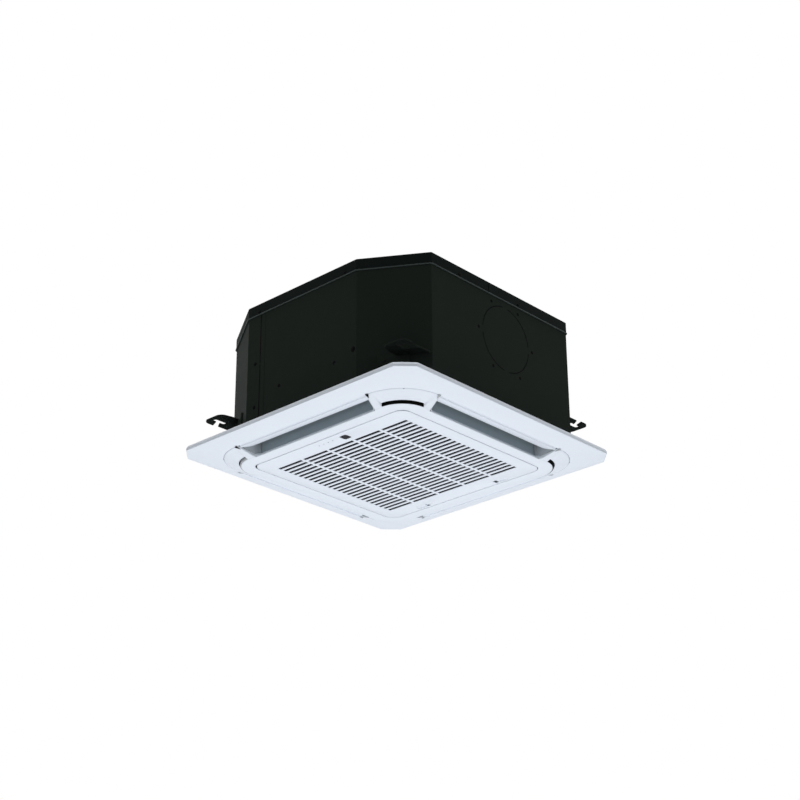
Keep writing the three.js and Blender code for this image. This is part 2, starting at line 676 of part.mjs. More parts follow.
function foamLiner() {
  const ring = slab(bodyOutline(3), PAN_TOP_Z + GAP, 273.7, [bodyOutline(11)]);
  return cut(
    ring,
    box(270, 290, PIPES.y - 22, PIPES.y + 40, PIPES.liquidZ - 20, PIPES.gasZ + 22),
    sideHole(PIPES.drainY, PIPES.drainZ, 14, 270, 290),
    sideHole(-60, 120, 11, 270, 290),
  );
}

const foamTop = () => slab(bodyOutline(3), 274, 282.6, [circle(92, 0, 0, 32)]);

function drainPan() {
  const block = slab(bodyOutline(3), BODY_BOTTOM_Z + SHEET + GAP, PAN_TOP_Z, [roundedSquare(180, 30)]);
  const trough = slab(roundedSquare(232, 40), TROUGH_FLOOR_Z, PAN_TOP_Z + 1, [roundedSquare(189, 30)]);
  const outlets = onFourSides(() => slab(roundedPolygon(rectangle(239, -165, 273, 165), [8, 8, 8, 8], 3), 0, 90));
  const innerWall = slab(roundedSquare(190, 31), 70, PAN_TOP_Z + 1);
  return cut(block, trough, ...outlets, innerWall);
}

function coil() {
  const inner = COIL.outer - COIL.depth;
  const ring = slab(roundedSquare(COIL.outer, COIL.radius), TROUGH_FLOOR_Z + GAP, COIL.top, [
    roundedSquare(inner, COIL.radius - COIL.depth),
  ]);
  return cut(ring, box(158, 240, 158, 240, 0, 300));
}

function coilEndPlate() {
  const low = TROUGH_FLOOR_Z + GAP;
  const plan = [
    point(194, 158.4), point(224, 158.4), point(224, 160), point(217, 160), point(160, 217), point(160, 224),
    point(158.4, 224), point(158.4, 194), point(160, 194), point(160, 214), point(214, 160), point(194, 160),
  ];
  return slab(plan, low, COIL.top);
}

// ---------- fan ----------

/** One backward-curved blade in plan, thickest a third of the way out. */
function bladePlan(turn) {
  const inner = 100;
  const outer = 163;
  const sweep = 38 * DEGREE;
  const steps = 5;
  const front = [];
  const back = [];
  for (let i = 0; i <= steps; i++) {
    const t = i / steps;
    const radius = inner + (outer - inner) * t;
    const angle = turn - sweep * Math.pow(t, 0.85);
    const thickness = 1 + 4.5 * Math.sin(Math.PI * Math.pow(t, 0.6));
    const spread = thickness / 2 / radius;
    front.push(point(radius * Math.cos(angle + spread), radius * Math.sin(angle + spread)));
    back.push(point(radius * Math.cos(angle - spread), radius * Math.sin(angle - spread)));
  }
  return [...back, ...front.reverse()];
}

function turboFan() {
  const shroud = turned([
    [FAN.inlet, FAN.eye], [FAN.inlet + 2.2, FAN.eye], [FAN.inlet + 5, 93], [FAN.inlet + 14, 100],
    [FAN.outer, FAN.shroud], [FAN.outer, FAN.shroud + 2.4], [FAN.inlet + 13, 102.6], [FAN.inlet + 3, 95.5],
    [FAN.inlet, 88],
  ]);
  const backPlate = turned([
    [SHAFT_RADIUS + GAP, 162], [13, 162], [15, 172], [48, 182], [66, 206], [82, 228], [FAN.outer, FAN.back - 2.5],
    [FAN.outer, FAN.back], [80, 231.5], [62.5, 207.5], [46, 185], [20, 177], [12, 188], [SHAFT_RADIUS + GAP, 188],
  ]);
  const zone = turned([
    [95, 99], [FAN.inlet + 4, 96], [FAN.inlet + 14, 101.2], [FAN.outer, FAN.shroud + 1.2], [FAN.outer, FAN.back - 1.2],
    [95, 229.5],
  ]);
  const blades = [];
  for (let i = 0; i < FAN.blades; i++) {
    blades.push(overlap(slab(bladePlan((2 * Math.PI * i) / FAN.blades), 90, FAN.back), zone));
  }
  return join(shroud, backPlate, ...blades);
}

const fanShaft = () => turned([[0, 150], [SHAFT_RADIUS, 150], [SHAFT_RADIUS, MOTOR.bottom - 4 - GAP], [0, MOTOR.bottom - 4 - GAP]], 20);
const fanNut = () => slab(circle(10, 0, 0, 6), 153, 161.7, [circle(SHAFT_RADIUS + GAP, 0, 0, 20)]);

function fanMotor() {
  return turned([
    [0, MOTOR.bottom - 4], [9, MOTOR.bottom - 4], [9, MOTOR.bottom], [38, MOTOR.bottom], [MOTOR.radius, MOTOR.bottom + 8],
    [MOTOR.radius, MOTOR.top - 24], [MOTOR.radius + 5, MOTOR.top - 24], [MOTOR.radius + 5, MOTOR.top - 20],
    [MOTOR.radius, MOTOR.top - 20], [MOTOR.radius, MOTOR.top - 6], [36, MOTOR.top], [0, MOTOR.top],
  ], 20);
}

function motorMount() {
  const plate = slab(circle(74, 0, 0, 24), MOTOR.top + GAP, MOTOR.top + 3);
  const feet = [];
  for (let i = 0; i < 3; i++) {
    const angle = (2 * Math.PI * i) / 3;
    feet.push(post(9, 62 * Math.cos(angle), 62 * Math.sin(angle), MOTOR.top + 2, 282.6, 12));
  }
  return join(plate, ...feet);
}

function bellMouth() {
  const flange = slab(roundedSquare(212, 30), 22.7, 24.7, [circle(BELL.mouth - 1, 0, 0, 24)]);
  const rise = BELL.top - 24.7;
  const outer = [];
  const inner = [];
  const steps = 5;
  for (let i = 0; i <= steps; i++) {
    const angle = (QUARTER * i) / steps;
    const radius = BELL.mouth - (BELL.mouth - BELL.throat) * Math.sin(angle);
    const z = 22.7 + rise * (1 - Math.cos(angle));
    inner.push([radius, z]);
    outer.push([radius + BELL.wall, z + BELL.wall * (1 - i / steps)]);
  }
  return join(flange, turned([...outer, ...inner.reverse()]));
}

// ---------- water, electrics and pipes ----------

function drainPump() {
  const x = 208;
  const y = 208;
  const body = turned([
    [0, TROUGH_FLOOR_Z + 2], [9, TROUGH_FLOOR_Z + 2], [13, TROUGH_FLOOR_Z + 8], [13, 84], [24, 92], [24, 150], [20, 156], [0, 156],
  ], 16);
  return join(body.translate(x, y, 0), box(x - 28, x + 24, y - 4, y + 4, 96, 99));
}

function drainOutlet() {
  const sleeve = cut(
    sideHole(PIPES.drainY, PIPES.drainZ, 12.5, 262, 330, 14),
    sideHole(PIPES.drainY, PIPES.drainZ, 10, 265, 331, 14),
  );
  const bead = sideHole(PIPES.drainY, PIPES.drainZ, 16, 285.3, 288, 14);
  const core = sideHole(PIPES.drainY, PIPES.drainZ, 11, 280, 290, 14);
  return join(sleeve, cut(bead, core));
}

const FLOAT = { x: 174, y: 217, low: 52, high: 66 };

function floatStem() {
  const rod = post(3, FLOAT.x, FLOAT.y, TROUGH_FLOOR_Z + GAP, 90, 12);
  return join(rod, post(5.5, FLOAT.x, FLOAT.y, 89, 96, 12), post(4.5, FLOAT.x, FLOAT.y, TROUGH_FLOOR_Z + GAP, 51.5, 12));
}

const levelFloat = () => slab(circle(8, FLOAT.x, FLOAT.y, 20), FLOAT.low, FLOAT.high, [circle(3.5, FLOAT.x, FLOAT.y, 12)]);

function controlBox() {
  const outer = rectangle(-150, 152, 150, 206);
  const hollow = box(-148.8, 148.8, 153.2, 204.8, -20, 20.9);
  return cut(slab(outer, -16, 22.4), hollow);
}

const controlBoxCover = () => box(-151, 151, 151, 207, -18, -16.3);

function circuitBoard() {
  const board = box(-140, 140, 158, 200, 8, 9.6);
  const parts = [
    box(-120, -80, 164, 192, -8, 8.5),
    box(-60, -42, 166, 184, -4, 8.5),
    box(-20, 10, 163, 195, -2, 8.5),
    box(40, 90, 166, 176, 0, 8.5),
    box(100, 126, 164, 194, -6, 8.5),
  ];
  return join(board, ...parts);
}

/** A copper line: up from the coil's header, along the gap outside the coil, and out through the wall. */
function refrigerantPipe(start, z, radius, end) {
  const [x, y] = start;
  const route = [
    [x, y, z - 32], [x, y, z - 16], [x + 14, y - 4, z - 4], [248, 156, z], [252, 122, z], [254, PIPES.y + 20, z],
    [268, PIPES.y + 3, z], [296, PIPES.y, z], [end, PIPES.y, z],
  ];
  return tube(route, radius);
}

function flareNut(z, across, from, to, bore) {
  const hex = circle(across / Math.sqrt(3), PIPES.y, z, 6);
  const nut = barAlongX(hex, from, to);
  return cut(nut, sideHole(PIPES.y, z, bore, from - 1, to - 6, 12));
}

function pipePlate() {
  const x0 = BODY_HALF - SHEET;
  const plate = box(x0, x0 + 1.2, PIPES.y - 30, PIPES.y + 30, PIPES.liquidZ - 26, PIPES.gasZ + 26);
  return cut(plate, sideHole(PIPES.y, PIPES.gasZ, 9, 280, 290, 16), sideHole(PIPES.y, PIPES.liquidZ, 6, 280, 290, 16));
}

function cableGrommet() {
  const profile = [[5, 276], [8.4, 276], [8.4, 284], [12, 284], [12, 287.5], [5, 288.5]];
  return turned(profile, 14).rotateY(QUARTER).translate(0, -60, 120);
}

// ---------- assembly ----------

const group = new THREE.Group();
const add = (parent, name, shape, finish) => parent.add(piece(name, shape, finish));

const body = new THREE.Group();
group.add(body);
add(body, 'top_cover', topCover(), GREEN_BLACK);
add(body, 'front_casing', casing(true), GREEN_BLACK);
add(body, 'rear_casing', casing(false), GREEN_BLACK);
add(body, 'foam_liner', foamLiner(), FOAM);
add(body, 'foam_top', foamTop(), FOAM);
add(body, 'drain_pan', drainPan(), FOAM_WHITE);
add(body, 'coil', coil(), ALUMINIUM);
add(body, 'coil_end_plate', coilEndPlate(), STEEL);
add(body, 'fan_motor', fanMotor(), STEEL);
add(body, 'motor_mount', motorMount(), STEEL);
add(body, 'bell_mouth', bellMouth(), DARK_PLASTIC);
add(body, 'drain_pump', drainPump(), FOAM_WHITE);
add(body, 'drain_outlet', drainOutlet(), FOAM_WHITE);
add(body, 'float_stem', floatStem(), DARK_PLASTIC);
add(body, 'control_box', controlBox(), STEEL);
add(body, 'control_box_cover', controlBoxCover(), STEEL);
add(body, 'circuit_board', circuitBoard(), BOARD);
add(body, 'gas_pipe', refrigerantPipe([212, 182], PIPES.gasZ, 6.35, 336), COPPER);
add(body, 'liquid_pipe', refrigerantPipe([222, 196], PIPES.liquidZ, 3.2, 330), COPPER);
add(body, 'gas_flare_nut', flareNut(PIPES.gasZ, 26, 322, 346, 6.8), BRASS);
add(body, 'liquid_flare_nut', flareNut(PIPES.liquidZ, 17, 318, 338, 3.7), BRASS);
add(body, 'pipe_plate', pipePlate(), GREEN_BLACK);
add(body, 'cable_grommet', cableGrommet(), RUBBER);

for (const [signX, signY, name] of [[1, 1, CORNERS[0]], [-1, 1, CORNERS[1]], [-1, -1, CORNERS[2]], [1, -1, CORNERS[3]]]) {
  add(body, `hanger_bracket_${name}`, hangerBracket(signX, signY), GREEN_BLACK);
}

const panel = new THREE.Group();
group.add(panel);
add(panel, 'panel_frame', panelFrame(), WHITE);
add(panel, 'panel_seal', panelSeal(), FOAM);
add(panel, 'latch_catch_rear', latchCatch(1), SHADE_WHITE);
add(panel, 'latch_catch_front', latchCatch(-1), SHADE_WHITE);

SIDES.forEach((side, k) => {
  const quarter = new THREE.Group();
  quarter.rotation.z = k * QUARTER;
  panel.add(quarter);
  add(quarter, `corner_cover_${CORNERS[k]}`, cornerCover(), WHITE);
  add(quarter, `louver_motor_${side}`, louverMotor(), SHADE_WHITE);
  add(quarter, `louver_bush_${side}`, louverBush(), DARK_PLASTIC);
  const pivot = new THREE.Group();
  pivot.position.set(LOUVER_PIVOT.x, 0, LOUVER_PIVOT.z);
  pivot.rotation.y = LOUVER_OPEN;
  quarter.add(pivot);
  add(pivot, `louver_${side}`, louver(), WHITE);
});

const grille = new THREE.Group();
panel.add(grille);
add(grille, 'intake_grille', intakeGrille(), WHITE);
add(grille, 'air_filter', airFilter(), FILTER_MESH);
add(grille, 'display_box', displayBox(), DARK_PLASTIC);
add(grille, 'receiver_window', receiverWindow(), SMOKED);
add(grille, 'latch_rear', latch(1), WHITE);
add(grille, 'latch_front', latch(-1), WHITE);

const fan = new THREE.Group();
body.add(fan);
add(fan, 'turbo_fan', turboFan(), DARK_PLASTIC);
add(fan, 'fan_shaft', fanShaft(), STEEL);
add(fan, 'fan_nut', fanNut(), STEEL);
add(body, 'level_float', levelFloat(), FOAM_WHITE);

export default group;
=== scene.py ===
"""Looks of a compact four-way ceiling cassette air conditioner.

A green-black sheet-metal body hangs above the ceiling, and a white moulded panel closes the opening from
below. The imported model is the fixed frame, and each class here makes or dresses one sub-assembly of it.
Sizes are millimetres, +Z up, with the origin at the panel's centre on the underside of the ceiling, and
each finished mesh is scaled to metres. -X is the display side, +X the latch side, -Y the knockout side.
"""

from __future__ import annotations

import json
import logging
import math
from dataclasses import dataclass
from enum import Enum
from typing import Callable, Iterable, Sequence

import bmesh
import bpy
from mathutils import Matrix, Vector

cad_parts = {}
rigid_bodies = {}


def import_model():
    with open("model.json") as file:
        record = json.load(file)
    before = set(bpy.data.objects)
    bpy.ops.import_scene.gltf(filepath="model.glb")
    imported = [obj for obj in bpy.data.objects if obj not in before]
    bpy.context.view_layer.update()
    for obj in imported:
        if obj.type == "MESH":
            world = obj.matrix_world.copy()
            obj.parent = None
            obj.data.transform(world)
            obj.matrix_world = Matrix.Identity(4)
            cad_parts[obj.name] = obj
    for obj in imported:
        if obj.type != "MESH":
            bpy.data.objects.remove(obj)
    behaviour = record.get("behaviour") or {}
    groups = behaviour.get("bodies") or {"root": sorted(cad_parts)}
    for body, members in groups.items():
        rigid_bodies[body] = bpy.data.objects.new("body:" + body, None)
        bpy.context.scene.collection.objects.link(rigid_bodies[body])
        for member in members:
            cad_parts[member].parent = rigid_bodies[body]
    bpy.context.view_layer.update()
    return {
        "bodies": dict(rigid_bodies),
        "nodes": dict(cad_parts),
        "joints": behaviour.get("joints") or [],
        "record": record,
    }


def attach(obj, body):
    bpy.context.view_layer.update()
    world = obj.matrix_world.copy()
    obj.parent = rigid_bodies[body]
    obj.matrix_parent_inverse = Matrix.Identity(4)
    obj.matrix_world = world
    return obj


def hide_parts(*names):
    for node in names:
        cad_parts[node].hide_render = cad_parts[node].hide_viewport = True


MM = 0.001
IMAGE = 800  # pixels along each side of the render

Colour = tuple[float, float, float]
Corner = tuple[float, float, float]  # x, y and the radius of the rounding there
Spot = tuple[float, float, float]
Edge = bmesh.types.BMEdge
Socket = bpy.types.NodeSocket
Tree = bpy.types.NodeTree

log = logging.getLogger("cassette")


class Side(Enum):
    """The four sides of the panel, each with its quarter turns from +X."""

    RIGHT = 0
    REAR = 1
    LEFT = 2
    FRONT = 3

    @property
    def label(self) -> str:
        """Name used in the nodes and bodies."""
        return self.name.lower()

    @property
    def corner(self) -> str:
        """Name of the corner that follows this side, anticlockwise."""
        return ("rear_right", "rear_left", "front_left", "front_right")[self.value]


# ---------- bench ----------


class Workpiece:
    """A mesh on the bench, in millimetres, shaped with bmesh operators."""

    def __init__(self) -> None:
        """Starts with nothing on the bench."""
        self.mesh = bmesh.new()

    @classmethod
    def sheet(cls, corners: Sequence[Corner], z: float = 0.0, segments: int = 6) -> Workpiece:
        """Makes a flat face from a polygon whose corners are rounded.

        Args:
            corners: The corners, anticlockwise, each with its radius.
            z: Height of the face.
            segments: Steps in each rounded corner.

        Returns:
            The workpiece with that one face.
        """
        piece = cls()
        bm = piece.mesh
        verts = [bm.verts.new((x, y, z)) for x, y, _ in corners]
        bm.faces.new(verts)
        points = [Vector((x, y)) for x, y, _ in corners]
        for i, vert in enumerate(verts):
            radius = corners[i][2]
            before = points[i] - points[i - 1]
            after = points[(i + 1) % len(points)] - points[i]
            if radius <= 0:
                continue
            offset = radius * math.tan(abs(before.angle(after)) / 2)
            piece.round_corner(vert, offset, segments)
        return piece

    def round_corner(self, vert: bmesh.types.BMVert, offset: float, segments: int) -> None:
        """Rounds one corner of a flat outline."""
        bmesh.ops.bevel(
            self.mesh, geom=[vert], offset=offset, offset_type="OFFSET", segments=segments, profile=0.5,
            affect="VERTICES", clamp_overlap=False, material=-1,
        )

    @classmethod
    def swept(cls, section: Sequence[tuple[float, float]], degrees: float, steps: int) -> Workpiece:
        """Sweeps a section of radius and height round part of a turn about the Z axis."""
        piece = cls()
        verts = [piece.mesh.verts.new((radius, 0.0, z)) for radius, z in section]
        face = piece.mesh.faces.new(verts)
        piece.spin_out([*verts, *face.edges, face], (0, 0, 0), degrees, steps)
        return piece.sealed()

    def spin_out(self, geometry: Sequence[object], centre: Spot, degrees: float, steps: int) -> list[Edge]:
        """Spins geometry about an upright axis and returns the edges at the far end."""
        spun = bmesh.ops.spin(
            self.mesh, geom=geometry, cent=centre, axis=(0, 0, 1), angle=math.radians(degrees), steps=steps,
            use_merge=False, use_duplicate=False,
        )
        return [g for g in spun["geom_last"] if isinstance(g, Edge)]

    def bisect(self, place: Spot, normal: Spot, clear: bool = False) -> Workpiece:
        """Cuts every face along a plane and, if asked, clears what lies behind it."""
        bm = self.mesh
        bmesh.ops.bisect_plane(
            bm, geom=bm.verts[:] + bm.edges[:] + bm.faces[:], plane_co=place, plane_no=normal, clear_inner=clear
        )
        return self

    @classmethod
    def plate(cls, corners: Sequence[Corner], low: float, high: float, segments: int = 6) -> Workpiece:
        """Makes a flat plate from a rounded polygon."""
        return cls.sheet(corners, low, segments).thicken(high - low)

    @classmethod
    def turned(cls, profile: Sequence[Corner], steps: int = 48, segments: int = 3) -> Workpiece:
        """Turns a closed section about the Z axis.

        Args:
            profile: Corners of the section as radius, height and rounding.
            steps: Steps round the turn.
            segments: Steps in each rounded corner of the section.

        Returns:
            The closed turned piece.
        """
        piece = cls.sheet(profile, 0.0, segments)
        bm = piece.mesh
        bmesh.ops.rotate(bm, cent=(0, 0, 0), matrix=Matrix.Rotation(math.pi / 2, 3, "X"), verts=bm.verts)
        bmesh.ops.delete(bm, geom=list(bm.faces), context="FACES_ONLY")
        on_axis = [e for e in bm.edges if all(abs(v.co.x) < 1e-6 for v in e.verts)]
        bmesh.ops.delete(bm, geom=on_axis, context="EDGES")
        bmesh.ops.spin(
            bm, geom=bm.verts[:] + bm.edges[:], cent=(0, 0, 0), axis=(0, 0, 1), angle=2 * math.pi,
            steps=steps, use_merge=True, use_duplicate=False,
        )
        return piece.sealed()

    @classmethod
    def rod(cls, radius: float, length: float, sides: int = 24, edge: float = 0.0) -> Workpiece:
        """Makes a round rod from z = 0 upwards, with a rounded edge at both ends."""
        return cls.turned([(0, 0, 0), (radius, 0, edge), (radius, length, edge), (0, length, 0)], sides, 2)

    @classmethod
    def block(cls, low: Spot, high: Spot, edge: float = 0.0, segments: int = 2) -> Workpiece:
        """Makes a rectangular block between two corners, with rounded edges."""
        piece = cls()
        bmesh.ops.create_cube(piece.mesh, size=1.0)
        middle = [(a + b) / 2 for a, b in zip(low, high)]
        bmesh.ops.scale(piece.mesh, vec=[b - a for a, b in zip(low, high)], verts=piece.mesh.verts)
        bmesh.ops.translate(piece.mesh, vec=middle, verts=piece.mesh.verts)
        if edge > 0:
            piece.ease(edge, segments)
        return piece

    @classmethod
    def washer(
        cls, outer: Sequence[Corner], holes: Sequence[Sequence[Corner]], low: float, high: float, segments: int = 6
    ) -> Workpiece:
        """Makes a flat plate with holes in it."""
        piece = cls.sheet(outer, low, segments).join(*(cls.sheet(hole, low, segments) for hole in holes))
        bm = piece.mesh
        bmesh.ops.delete(bm, geom=list(bm.faces), context="FACES_ONLY")
        bmesh.ops.remove_doubles(bm, verts=bm.verts, dist=1e-3)
        bmesh.ops.triangle_fill(bm, edges=list(bm.edges), use_beauty=True, use_dissolve=False)
        return piece.thicken(high - low)

    def walled(self, thickness: float) -> Workpiece:
        """Gives an open wall its thickness on the outer side."""
        self.sealed()
        bmesh.ops.solidify(self.mesh, geom=list(self.mesh.faces), thickness=thickness)
        return self.sealed()

    def thicken(self, height: float) -> Workpiece:
        """Draws the open sheet up into a closed plate."""
        grown = bmesh.ops.extrude_face_region(self.mesh, geom=list(self.mesh.faces))
        self._lift(grown["geom"], (0, 0, height))
        return self.sealed()

    def _lift(self, geometry: Iterable[object], by: Spot) -> list[Edge]:
        """Moves the vertices among some new geometry and returns the edges among it."""
        geometry = list(geometry)
        verts = [g for g in geometry if isinstance(g, bmesh.types.BMVert)]
        bmesh.ops.translate(self.mesh, vec=by, verts=verts)
        return [g for g in geometry if isinstance(g, Edge)]

    def draw_out(self, edges: list[Edge], by: Spot) -> list[Edge]:
        """Draws a chain of edges out into faces and returns the edges at the far end."""
        return self._lift(bmesh.ops.extrude_edge_only(self.mesh, edges=edges)["geom"], by)

    def sealed(self) -> Workpiece:
        """Merges doubled vertices and turns the faces outwards."""
        bmesh.ops.remove_doubles(self.mesh, verts=self.mesh.verts, dist=1e-4)
        bmesh.ops.recalc_face_normals(self.mesh, faces=self.mesh.faces)
        return self

    def ease(
        self,
        width: float,
        segments: int = 2,
        where: Callable[[Edge], bool] | None = None,
        angle: float = 40.0,
    ) -> Workpiece:
        """Rounds edges that turn more than an angle.

        Args:
            width: Width taken off each face.
            segments: Steps in the rounding.
            where: Test that an edge has to pass, or None for every sharp edge.
            angle: Least turn between the faces, in degrees.

        Returns:
            This workpiece.
        """
        limit = math.radians(angle)
        edges = [
            e for e in self.mesh.edges
            if len(e.link_faces) == 2 and e.calc_face_angle(0.0) > limit and (where is None or where(e))
        ]
        bmesh.ops.bevel(
            self.mesh, geom=edges, offset=width, offset_type="OFFSET", segments=segments, profile=0.5,
            affect="EDGES", clamp_overlap=True, material=-1,
        )
        return self

    def shift(self, x: float = 0.0, y: float = 0.0, z: float = 0.0) -> Workpiece:
        """Moves the workpiece."""
        bmesh.ops.translate(self.mesh, vec=(x, y, z), verts=self.mesh.verts)
        return self

    def turn(self, degrees: float, axis: str = "Z", about: Spot = (0.0, 0.0, 0.0)) -> Workpiece:
        """Turns the workpiece about an axis through a point."""
        turned = Matrix.Rotation(math.radians(degrees), 3, axis)
        bmesh.ops.rotate(self.mesh, cent=about, matrix=turned, verts=self.mesh.verts)
        return self

    def flip(self, x: float = 1.0, y: float = 1.0) -> Workpiece:
        """Mirrors the workpiece in X or Y when that factor is -1."""
        bmesh.ops.scale(self.mesh, vec=(x, y, 1.0), verts=self.mesh.verts)
        if x * y < 0:
            bmesh.ops.reverse_faces(self.mesh, faces=self.mesh.faces)
        return self

    def join(self, *others: Workpiece) -> Workpiece:
        """Adds other workpieces to this one and clears them from the bench."""
        for other in others:
            scrap = bpy.data.meshes.new("scrap")
            other.mesh.to_mesh(scrap)
            other.mesh.free()
            self.mesh.from_mesh(scrap)
            bpy.data.meshes.remove(scrap)
        return self

    def copy(self) -> Workpiece:
        """Returns a second workpiece of the same shape."""
        other = Workpiece()
        other.mesh.free()
        other.mesh = self.mesh.copy()
        return other

    def four_ways(self) -> Workpiece:
        """Repeats the workpiece on the other three sides."""
        return self.join(*(self.copy().turn(90.0 * k) for k in (1, 2, 3)))

    def move_points(self, place: Callable[[Vector], Vector]) -> Workpiece:
        """Moves every vertex to a place worked out from where it is."""
        for vert in self.mesh.verts:
            vert.co = place(vert.co)
        return self

    def to_object(self, name: str) -> bpy.types.Object:
        """Takes the mesh off the bench as an object at the origin, in metres."""
        bmesh.ops.scale(self.mesh, vec=(MM, MM, MM), verts=self.mesh.verts)
        data = bpy.data.meshes.new(name)
        self.mesh.to_mesh(data)
        self.mesh.free()
        made = bpy.data.objects.new(name, data)
        bpy.context.scene.collection.objects.link(made)
        return made

    def cut_with(self, *tools: Workpiece) -> Workpiece:
        """Takes tools out of this workpiece with an exact boolean."""
        blank = self.to_object("blank")
        tool = Workpiece().join(*tools).to_object("tool")
        punch = blank.modifiers.new("punch", "BOOLEAN")
        punch.operation = "DIFFERENCE"
        punch.solver = "EXACT"
        punch.use_self = True
        punch.object = tool
        seen = blank.evaluated_get(bpy.context.evaluated_depsgraph_get())
        left = bpy.data.meshes.new_from_object(seen)
        result = Workpiece()
        result.mesh.from_mesh(left)
        bmesh.ops.scale(result.mesh, vec=(1 / MM, 1 / MM, 1 / MM), verts=result.mesh.verts)
        for scrap in (blank, tool):
            data = scrap.data
            bpy.data.objects.remove(scrap)
            bpy.data.meshes.remove(data)
        bpy.data.meshes.remove(left)
        return result.sealed()

    def finish(
        self, name: str, finish: Finish, body: str, stands_for: Sequence[str] = (), sharp: float = 32.0
    ) -> bpy.types.Object:
        """Makes the workpiece a finished piece of the object.

        Args:
            name: Name of the piece.
            finish: Its surface finish.
            body: The body that it rides on.
            stands_for: Nodes that it replaces.
            sharp: Turn between faces, in degrees, past which an edge is drawn crisp.

        Returns:
            The finished object.
        """
        made = self.to_object(name)
        made.data.shade_smooth()
        made.data.set_sharp_from_angle(angle=math.radians(sharp))
        made.data.materials.append(finish.material())
        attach(made, body)
        if stands_for:
            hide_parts(*stands_for)
        log.info("%s: %d faces on %s", name, len(made.data.polygons), body)
        return made


def corners_of(x0: float, y0: float, x1: float, y1: float, radius: float = 0.0) -> list[Corner]:
    """Corners of a rectangle, anticlockwise, all with one radius."""
    return [(x0, y0, radius), (x1, y0, radius), (x1, y1, radius), (x0, y1, radius)]


def square_of(half: float, radius: float) -> list[Corner]:
    """Corners of a square about the axis, anticlockwise, all with one radius."""
    return corners_of(-half, -half, half, half, radius)


def hexagon_of(across: float, rounding: float = 0.0, start: float = 0.0) -> list[Corner]:
    """Corners of a regular hexagon about the axis, from the distance of its corners."""
    angles = [math.radians(60 * k + start) for k in range(6)]
    return [(math.cos(a) * across, math.sin(a) * across, rounding) for a in angles]


def under(height: float) -> Callable[[Edge], bool]:
    """Test for edges that lie wholly below a height."""
    return lambda edge: all(v.co.z < height for v in edge.verts)


def above(height: float) -> Callable[[Edge], bool]:
    """Test for edges that lie wholly above a height."""
    return lambda edge: all(v.co.z > height for v in edge.verts)


def grown(corners: Sequence[Corner], by: float) -> list[Corner]:
    """Moves each edge of a convex outline outwards, and its radii with it."""
    result = []
    for i, (x, y, radius) in enumerate(corners):
        here = Vector((x, y))
        a = (here - Vector(corners[i - 1][:2])).normalized()
        b = (Vector(corners[(i + 1) % len(corners)][:2]) - here).normalized()
        normals = Vector((a.y, -a.x)) + Vector((b.y, -b.x))
        moved = here + normals * (by / (1 + Vector((a.y, -a.x)).dot(Vector((b.y, -b.x)))))
        result.append((moved.x, moved.y, max(radius + by, 0.0) if radius > 0 else 0.0))
    return result


def bar(section: Sequence[Corner], y0: float, y1: float, segments: int = 3) -> Workpiece:
    """Draws a section of X, Z and rounding out along Y."""
    return Workpiece.plate(section, y0, y1, segments).turn(90, "X").flip(y=-1)


def tube(points: Sequence[Spot], radius: float, sides: int = 16, steps: int = 6) -> Workpiece:
    """Sweeps a circle along a smooth line through some points, with closed ends."""
    line = bpy.data.curves.new("line", "CURVE")
    line.dimensions = "3D"
    line.resolution_u = steps
    line.bevel_depth = radius
    line.bevel_resolution = sides // 4
    line.use_fill_caps = True
    spline = line.splines.new("BEZIER")
    spline.bezier_points.add(len(points) - 1)
    for knot, place in zip(spline.bezier_points, points):
        knot.co = place
        knot.handle_left_type = knot.handle_right_type = "AUTO"
    holder = bpy.data.objects.new("line", line)
    data = bpy.data.meshes.new_from_object(holder)
    piece = Workpiece()
    piece.mesh.from_mesh(data)
    bpy.data.objects.remove(holder)
    bpy.data.curves.remove(line)
    bpy.data.meshes.remove(data)
    return piece.sealed()


# ---------- finishes ----------


